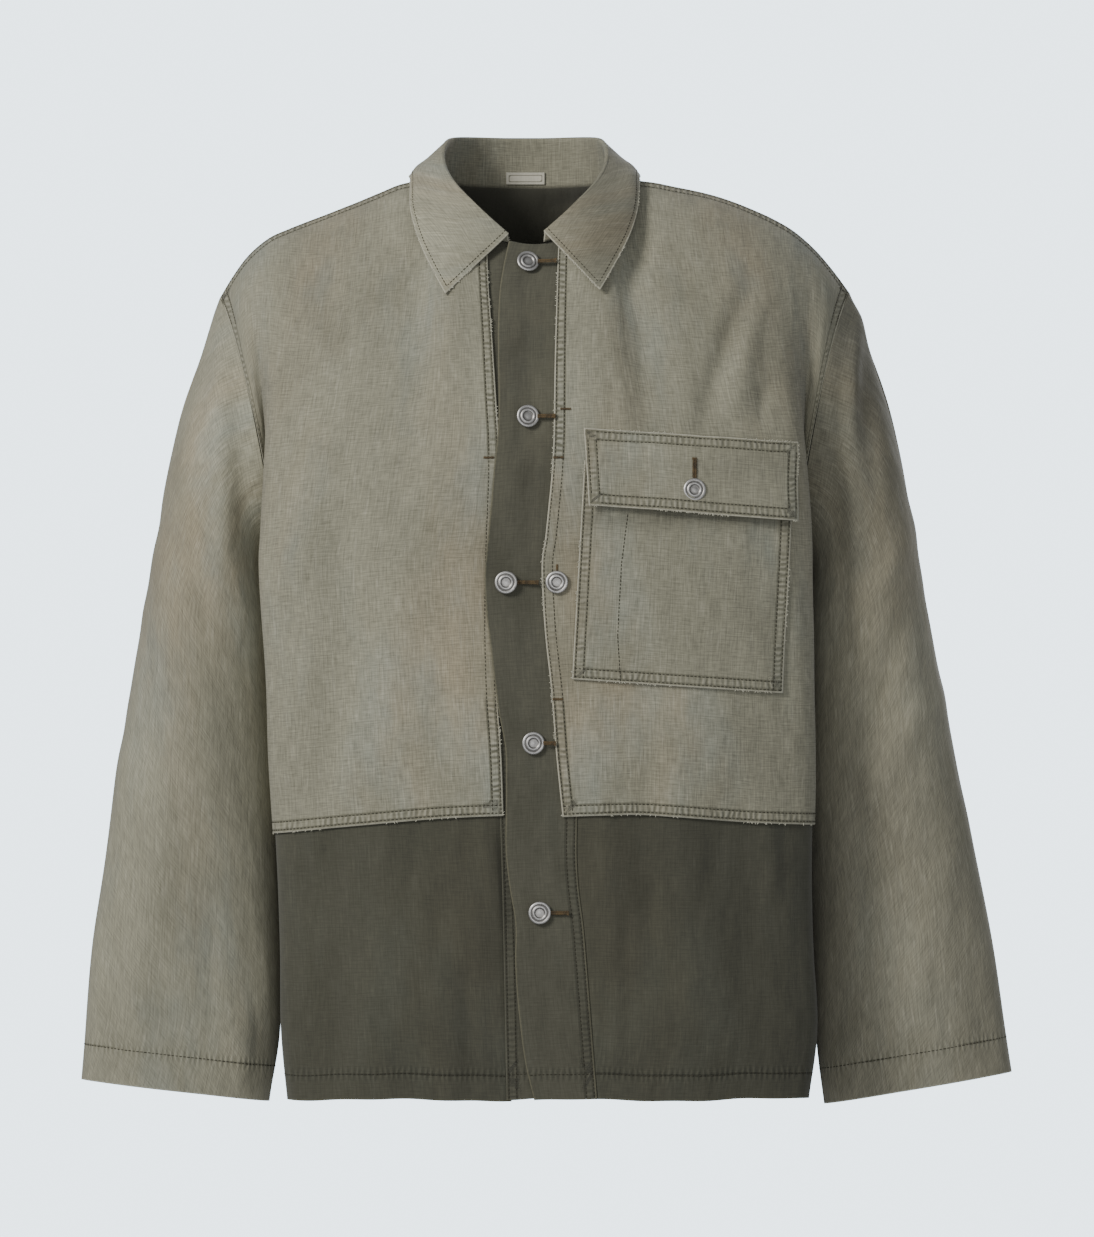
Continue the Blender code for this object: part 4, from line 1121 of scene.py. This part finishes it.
def finished(node, cloth, material, slot, **settings):
    piece = cloth.make(material, paintedShadeAndTone=paintedShadeAndTone.get(node, ()), **settings)
    standsFor(piece, node)
    made[node], cloths[node] = piece, cloth
    print(node, len(piece.data.polygons), "faces")


for side, name in ((-1, "right"), (1, "left")):
    grid = drawnIn(refine(frontLight(side), *fine["front"]), ("right", "top"))
    panel = dressed(Cloth("front_" + name, grid, side), "front", ("right", "top"))
    finished("front_" + name, panel, lightCloth, "washed_khaki", edges=("left", "bottom", "right"),
             bands=("left", "bottom", "top", "right"), pucker=heightPucker(panel), insideValue=1.0)
    grid = refine(sleeveGrid(side), *fine["sleeve"], ring=True)
    tube = dressed(Cloth("sleeve_" + name, grid, side, ring=True), "sleeveRight" if side < 0 else "sleeve",
                   ("bottom",))
    # the wearer's left sleeve, away from the key light, takes the darker copy: partly its own tone, partly painted
    # shade
    finished("sleeve_" + name, tube, sleeveToneAndShadeCloth if side > 0 else lightCloth, "washed_khaki", edges=("top",),
             hems=(("top", cuff),), insideValue=1.0)
    grid = drawnIn(drawnIn(slack(refine(lowerFront(side), *fine["lowFront"])), ("right",)), ("left",), -4.0)
    low = raised(Cloth("lower_front_" + name, grid, side), -jacket["pitch"])
    low.lift(-1.35 * (1 - ease(low.toEdge["left"], 4.0, 6.0)))
    finished("lower_front_" + name, dressed(low, "front", ("right",)), darkCloth, "dark_olive",
             edges=("bottom",), hems=(("bottom", hem),), insideValue=1.0)

places = backPlaces()
rises = [lightRises(places, share, False) for share in lowShares + highShares]
grid = drawnIn(refine(onBody([places] * len(rises), rises, False), *fine["back"]), ("left", "right", "top"))
panel = dressed(Cloth("back", grid, -1), "back", ("left", "right", "top"))
finished("back", panel, lightCloth, "washed_khaki", edges=("bottom",), bands=("bottom", "left", "right"),
         insideValue=1.0)
rises = [[(lightBottom(place, False) + lapRise) * j / 4 for place in places] for j in range(5)]
grid = drawnIn(slack(refine(onBody([places] * 5, rises, False), *fine["lowBack"])), ("left", "right"))
low = raised(Cloth("lower_back", grid, -1), -jacket["pitch"])
finished("lower_back", dressed(low, "back", ("left", "right")), darkCloth, "dark_olive", edges=("bottom",),
         hems=(("bottom", hem),), insideValue=1.0)

grid = stripGrid(edges["stripOuter"], edges["stripSeam"], 6, 26, -714.0, (-0.035, 0.13))
strip = Cloth("placket_left", drawnIn(slack(refine(grid, *fine["strip"])), ("right",)))
strip.lift(stripLift(strip.grid))
finished("placket_left", dressed(strip, "front", ("top",)), stripCloth, "dark_olive",
         edges=("left", "right", "bottom"), bands=("right",), hems=(("bottom", hem),),
         pucker=np.full(strip.u.shape, 0.55))
grid = stripGrid(edges["underOuter"], edges["underInner"], 4, 18, -713.0, (-0.13, 0.115))
under = Cloth("placket_right", drawnIn(slack(refine(grid, *fine["under"])), ("left",)))
under.lift(underLift(under.grid))
finished("placket_right", dressed(under, "front", ("top",)), stripCloth, "dark_olive", edges=("bottom",),
         bands=("left",), hems=(("bottom", hem),), pucker=np.full(under.u.shape, 0.55))
print("front, back, sleeves and plackets done")

patch = {
    "pocket": ((28.8, -387.0), (191.6, -398.0), (199.7, -222.0), (38.2, -217.5)),
    "flap": ((41.3, -252.5), (200.5, -265.0), (202.8, -203.6), (37.7, -192.5)),
    "label": (-22.8, 7.6, 3.1, 12.5),
}


def flapLift(points):               # its lower edge stands off the pocket and curls a little
    height = points[..., 2] + 0.075 * (points[..., 0] - 41.0)
    curl = 3.6 * ease(-height, 215.0, 252.0) * (1 + 0.25 * np.sin(points[..., 0] / 13.0))
    return jacket["pocketLift"] * (1 + ease(-points[..., 2], 196.0, 216.0)) + curl


bag = raised(Cloth("pocket", refine(patchGrid(patch["pocket"], 10, 10), *fine["pocket"])), jacket["pocketLift"])
finished("pocket", dressed(bag, "front"), lightCloth, "washed_khaki", edges=("left", "bottom", "right"),
         bands=("left", "bottom", "right"))
flap = Cloth("pocket_flap", refine(patchGrid(patch["flap"], 10, 4), *fine["flap"]))
flap.lift(flapLift(flap.grid))
finished("pocket_flap", dressed(flap, "front"), lightCloth, "washed_khaki",
         edges=("left", "bottom", "right", "top"), bands=("left", "bottom", "right", "top"))

neckband = Cloth("collar", drawnIn(refine(collarGrid(), *fine["collar"]), ("bottom",), -2.0))
finished("collar", neckband, lightCloth, "washed_khaki", edges=("left", "right", "top"))


def labelGrid(count, rows):
    left, right, low, high = patch["label"]
    grid = []
    for j in range(rows + 1):
        height = low + (high - low) * j / rows
        row = []
        for k in range(count + 1):
            out = left + (right - left) * k / count
            side = -1 if out < jacket["neckX"] else 1
            angle = math.degrees(math.asin(min(1, abs(out - jacket["neckX"]) / jacket["neckHalf"])))
            lowPoint, highPoint = collarColumn(side, angle / collar["ends"][side])[:2]
            blend = (height - lowPoint[2]) / (highPoint[2] - lowPoint[2])
            row.append((out, lowPoint[1] + (highPoint[1] - lowPoint[1]) * blend - jacket["cloth"] - 0.45, height))
        grid.append(row)
    return np.array(grid)


tab = Cloth("label", refine(labelGrid(8, 2), *fine["label"]), wall=1.0)
finished("label", tab, tabCloth, "cream_tab", edges=("left", "bottom", "right", "top"))
print("pocket, flap, collar and label done")


panelSeams = (("left", (1.8, 8.4)), ("bottom", (2.3, 8.5)), ("top", (2.0, 8.0)), ("right", (2.0, 9.0)))
seams = {                           # each edge's rows of stitches, by how far in they run
    "front_right": panelSeams, "front_left": panelSeams,
    "back": (("bottom", (2.3, 8.5)), ("right", (2.0, 9.0)), ("left", (2.0, 9.0))),
    "sleeve_right": (("top", (cuff,)),), "sleeve_left": (("top", (cuff,)),),
    "lower_front_right": (("bottom", (hem,)),), "lower_front_left": (("bottom", (hem,)),),
    "lower_back": (("bottom", (hem,)),),
    "placket_left": (("bottom", (hem,)), ("right", (2.0, 8.0))),
    "placket_right": (("bottom", (hem,)), ("left", (2.0, 8.0))),
    "pocket": tuple((edge, (2.0, 8.5)) for edge in ("left", "bottom", "right")),
    "pocket_flap": tuple((edge, (2.5, 9.0)) for edge in ("left", "bottom", "right", "top")),
    "collar": tuple((edge, (4.0,)) for edge in ("left", "right", "top")),
}
covered = -112.0                    # below this a fold covers the armhole's rows
sewing = {}
for node, lines in seams.items():
    rows = []
    for edge, insets in lines:
        ends = max(insets) if node in ("pocket_flap", "collar") else 1.0
        above = covered if edge == "right" and node.startswith("front") else noLimit
        rows += [rowOf(cloths[node].edgeLine(edge, inset, (ends, ends), above), stitch["pitch"]) for inset in insets]
    sewing[node] = [sewn("stitches_" + node, rows, stitch, thread)]

wall = jacket["cloth"] / 2
trim = {
    "penSlot": ((71.8, -259.0), (67.0, -297.0), (64.0, -353.3), (66.3, -388.4)),
    # button's middle, its height, and where its buttonhole ends
    "buttons": ((-5.8, -62.9, 16.4), (-5.8, -183.5, 15.6), (-22.4, -312.0, 2.3), (-1.4, -436.5, 15.6),
                (3.7, -568.2, 25.7)),
    "flapHole": (123.0, -231.5, -217.6),
    "tacks": ((18.5, -215.3), (17.9, -402.5), (24.0, -177.8)),
}


def tack(start, end, lift):         # one short bar of close stitches
    return satin(start, end, lift, 0, ring=False)


rows = [straightRow(a, b, jacket["pocketLift"] + wall) for a, b in zip(trim["penSlot"], trim["penSlot"][1:])]
sewing["pocket"].append(sewn("stitches_pen_slot", rows, stitch, thread))
rows = []
for x, z, far in trim["buttons"]:
    lift = float(stripRise(z)) + wall
    rows += [satin((x + 8.2, z), (far, z), lift, 0.7), tack((far, z - 1.7), (far, z + 1.7), lift + 0.2)]
sewing["placket_left"].append(sewn("buttonholes", rows, satinStitch, goldThread))
x, low, high = trim["flapHole"]
lift = 2 * jacket["pocketLift"] + wall
rows = [satin((x, low), (x, high), lift + 1.0, 0.8), tack((x - 1.6, high + 0.6), (x + 1.6, high + 0.6), lift + 0.6)]
sewing["pocket_flap"].append(sewn("flap_buttonhole", rows, satinStitch, goldThread))
rows = [tack((x - 4, z), (x + 4, z), wall) for x, z in trim["tacks"]] + [tack((17.2, -304.0), (17.2, -298.0), wall)]
sewing["front_left"].append(sewn("bar_tacks_left", rows, satinStitch, goldThread))
sewing["front_right"].append(sewn("bar_tack_right", [tack((-39.5, -215.3), (-31.5, -215.3), wall)],
                                  satinStitch, goldThread))


def frayed(cloth, edge, pitch, seed):       # short broken threads standing out of a worn edge
    shake = np.random.default_rng(seed)
    points, normals = cloth.edgeLine(edge, 0.15, (1.0, 1.0))
    inner, _ = cloth.edgeLine(edge, 2.5, (1.0, 1.0))
    count = min(len(points), len(inner))
    outward = unit(points[:count] - inner[:count])
    pick = np.sort(shake.choice(count, int(count / pitch), replace=False))
    clump = np.sin(pick / 17.0 + seed) > -0.2
    pick = pick[clump]
    lean = np.roll(points[:count], -1, axis=0)[pick] - points[:count][pick]
    lean *= shake.uniform(-1.4, 1.4, (len(pick), 1))
    reach = shake.uniform(0.0, 0.55, (len(pick), 1))
    return points[:count][pick] + outward[pick] * reach, outward[pick] + lean, normals[:count][pick]


worn = {                            # the edges that fray, and how far apart
    "pocket_flap": (("bottom", 1.6), ("right", 2.2), ("top", 4.0)),
    "collar": (("left", 2.0), ("right", 2.0), ("top", 3.5)),
    "pocket": (("left", 4.0), ("right", 4.0), ("bottom", 3.5)),
    "front_left": (("left", 3.5), ("bottom", 5.0)), "front_right": (("left", 4.0), ("bottom", 5.0)),
}
frays = {}
for node, lines in worn.items():
    rows = [frayed(cloths[node], edge, pitch, 3 + k) for k, (edge, pitch) in enumerate(lines)]
    frays[node] = sewn("fray_" + node, rows, frayHair, paleThread)

for slot, groups in (("dark_olive", sewing), ("washed_khaki", {node: [piece] for node, piece in frays.items()})):
    for pieces in groups.values():
        for piece in pieces:
            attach(piece, "root")
for node, piece in frays.items():
    sewing[node].append(piece)
print("sewing done")

for number in range(1, 8):
    node = f"button_{number}"
    standsFor(makeButton(node + "_turned", node, pewterMetal), node)
print("buttons done")

# what each sheet is, and what it hangs from
hangs = {
    "back": ("hung", ["collar"]), "front_right": ("hung", ["back"]), "front_left": ("hung", ["back"]),
    "sleeve_right": ("hung", ["front_right", "back"]), "sleeve_left": ("hung", ["front_left", "back"]),
    "lower_front_right": ("hung", ["front_right"]), "lower_front_left": ("hung", ["front_left"]),
    "lower_back": ("hung", ["back"]), "placket_left": ("hung", ["front_left"]),
    "placket_right": ("hung", ["front_right"]), "pocket": ("laid", ["front_left"]),
    "pocket_flap": ("laid", ["pocket"]), "collar": ("folded", ["back"]), "label": ("laid", ["collar"]),
}
for node, (held, rests) in hangs.items():
    width, length, area = cloths[node].size()
    print(f"{node}: {width:.3f} x {length:.3f} m, {area:.4f} square metres")


room = {
    "floor": {"radius": 3.2, "back": 0.9, "height": -1.25, "sides": 64,
              "base": (0.7, 0.73, 0.77), "glow": (0.84, 0.93, 1.0), "strength": 1.5},
    "backdrop": {"radius": 15.0, "base": (0.0, 0.0, 0.0), "glow": (0.79, 0.915, 1.0), "strength": 3.5},
    # place, target, size, power, colour
    "lights": {"key": ((-2.7, -2.7, 1.7), (0, 0, -0.35), 1.4, 182, (1.0, 0.98, 0.95)),
               "behind": ((1.8, 4.2, 1.2), (0, 0, -0.35), 2.0, 110, (0.98, 0.98, 1.0)),
               "fill": ((0.3, -5.0, -0.8), (0, 0, -0.45), 2.2, 52, (0.97, 0.98, 1.0))},
    "sky": (0.93, 0.96, 1.0), "skyStrength": 0.46,
    "camera": (0.0094, -10.0, -0.340), "lens": 370.8, "far": 60.0,
}


def glowing(name, mesh):            # seen by the camera alone
    look = room[name]
    paper, shader, place = newMaterial(name)
    place.fill(shader, {"Base Color": (*look["base"], 1.0), "Roughness": 0.9,
                        "Emission Color": (*look["glow"], 1.0), "Emission Strength": look["strength"]})
    mesh.materials.append(paper)
    piece = placed(name, mesh)
    for ray in ("diffuse", "glossy", "transmission", "volume_scatter", "shadow"):
        setattr(piece, "visible_" + ray, False)


def roundFloor():
    look = room["floor"]
    turns = [2 * math.pi * k / look["sides"] for k in range(look["sides"])]
    rim = [(look["radius"] * math.cos(turn), look["back"] + look["radius"] * math.sin(turn), look["height"])
           for turn in turns]
    mesh = bpy.data.meshes.new("floor")
    mesh.from_pydata(rim, [], [tuple(range(look["sides"]))])
    glowing("floor", mesh)


def backdrop():                     # a pale room all round
    mesh = bpy.data.meshes.new("backdrop")
    ball = bmesh.new()
    bmesh.ops.create_uvsphere(ball, u_segments=48, v_segments=24, radius=room["backdrop"]["radius"])
    bmesh.ops.reverse_faces(ball, faces=ball.faces[:])
    ball.to_mesh(mesh)
    ball.free()
    mesh.polygons.foreach_set("use_smooth", np.ones(len(mesh.polygons), bool))
    glowing("backdrop", mesh)


def softLight(name, place, target, size, power, colour):
    data = bpy.data.lights.new(name, "AREA")
    data.shape = "DISK"
    data.size, data.energy, data.color = size, power, colour
    lamp = placed(name, data)
    lamp.location = place
    lamp.rotation_euler = (Vector(target) - Vector(place)).to_track_quat("-Z", "Y").to_euler()


roundFloor()
backdrop()
for name, settings in room["lights"].items():
    softLight(name, *settings)
world = bpy.context.scene.world or bpy.data.worlds.new("room")
bpy.context.scene.world = world
world.use_nodes = True
sky = world.node_tree.nodes["Background"]
sky.inputs["Color"].default_value = (*room["sky"], 1.0)
sky.inputs["Strength"].default_value = room["skyStrength"]

cameraData = bpy.data.cameras.new("view")
cameraData.lens, cameraData.clip_end = room["lens"], room["far"]
camera = placed("view", cameraData)
camera.location = room["camera"]
camera.rotation_euler = (math.pi / 2, 0, 0)
bpy.context.scene.camera = camera

print("floor, light and camera done")
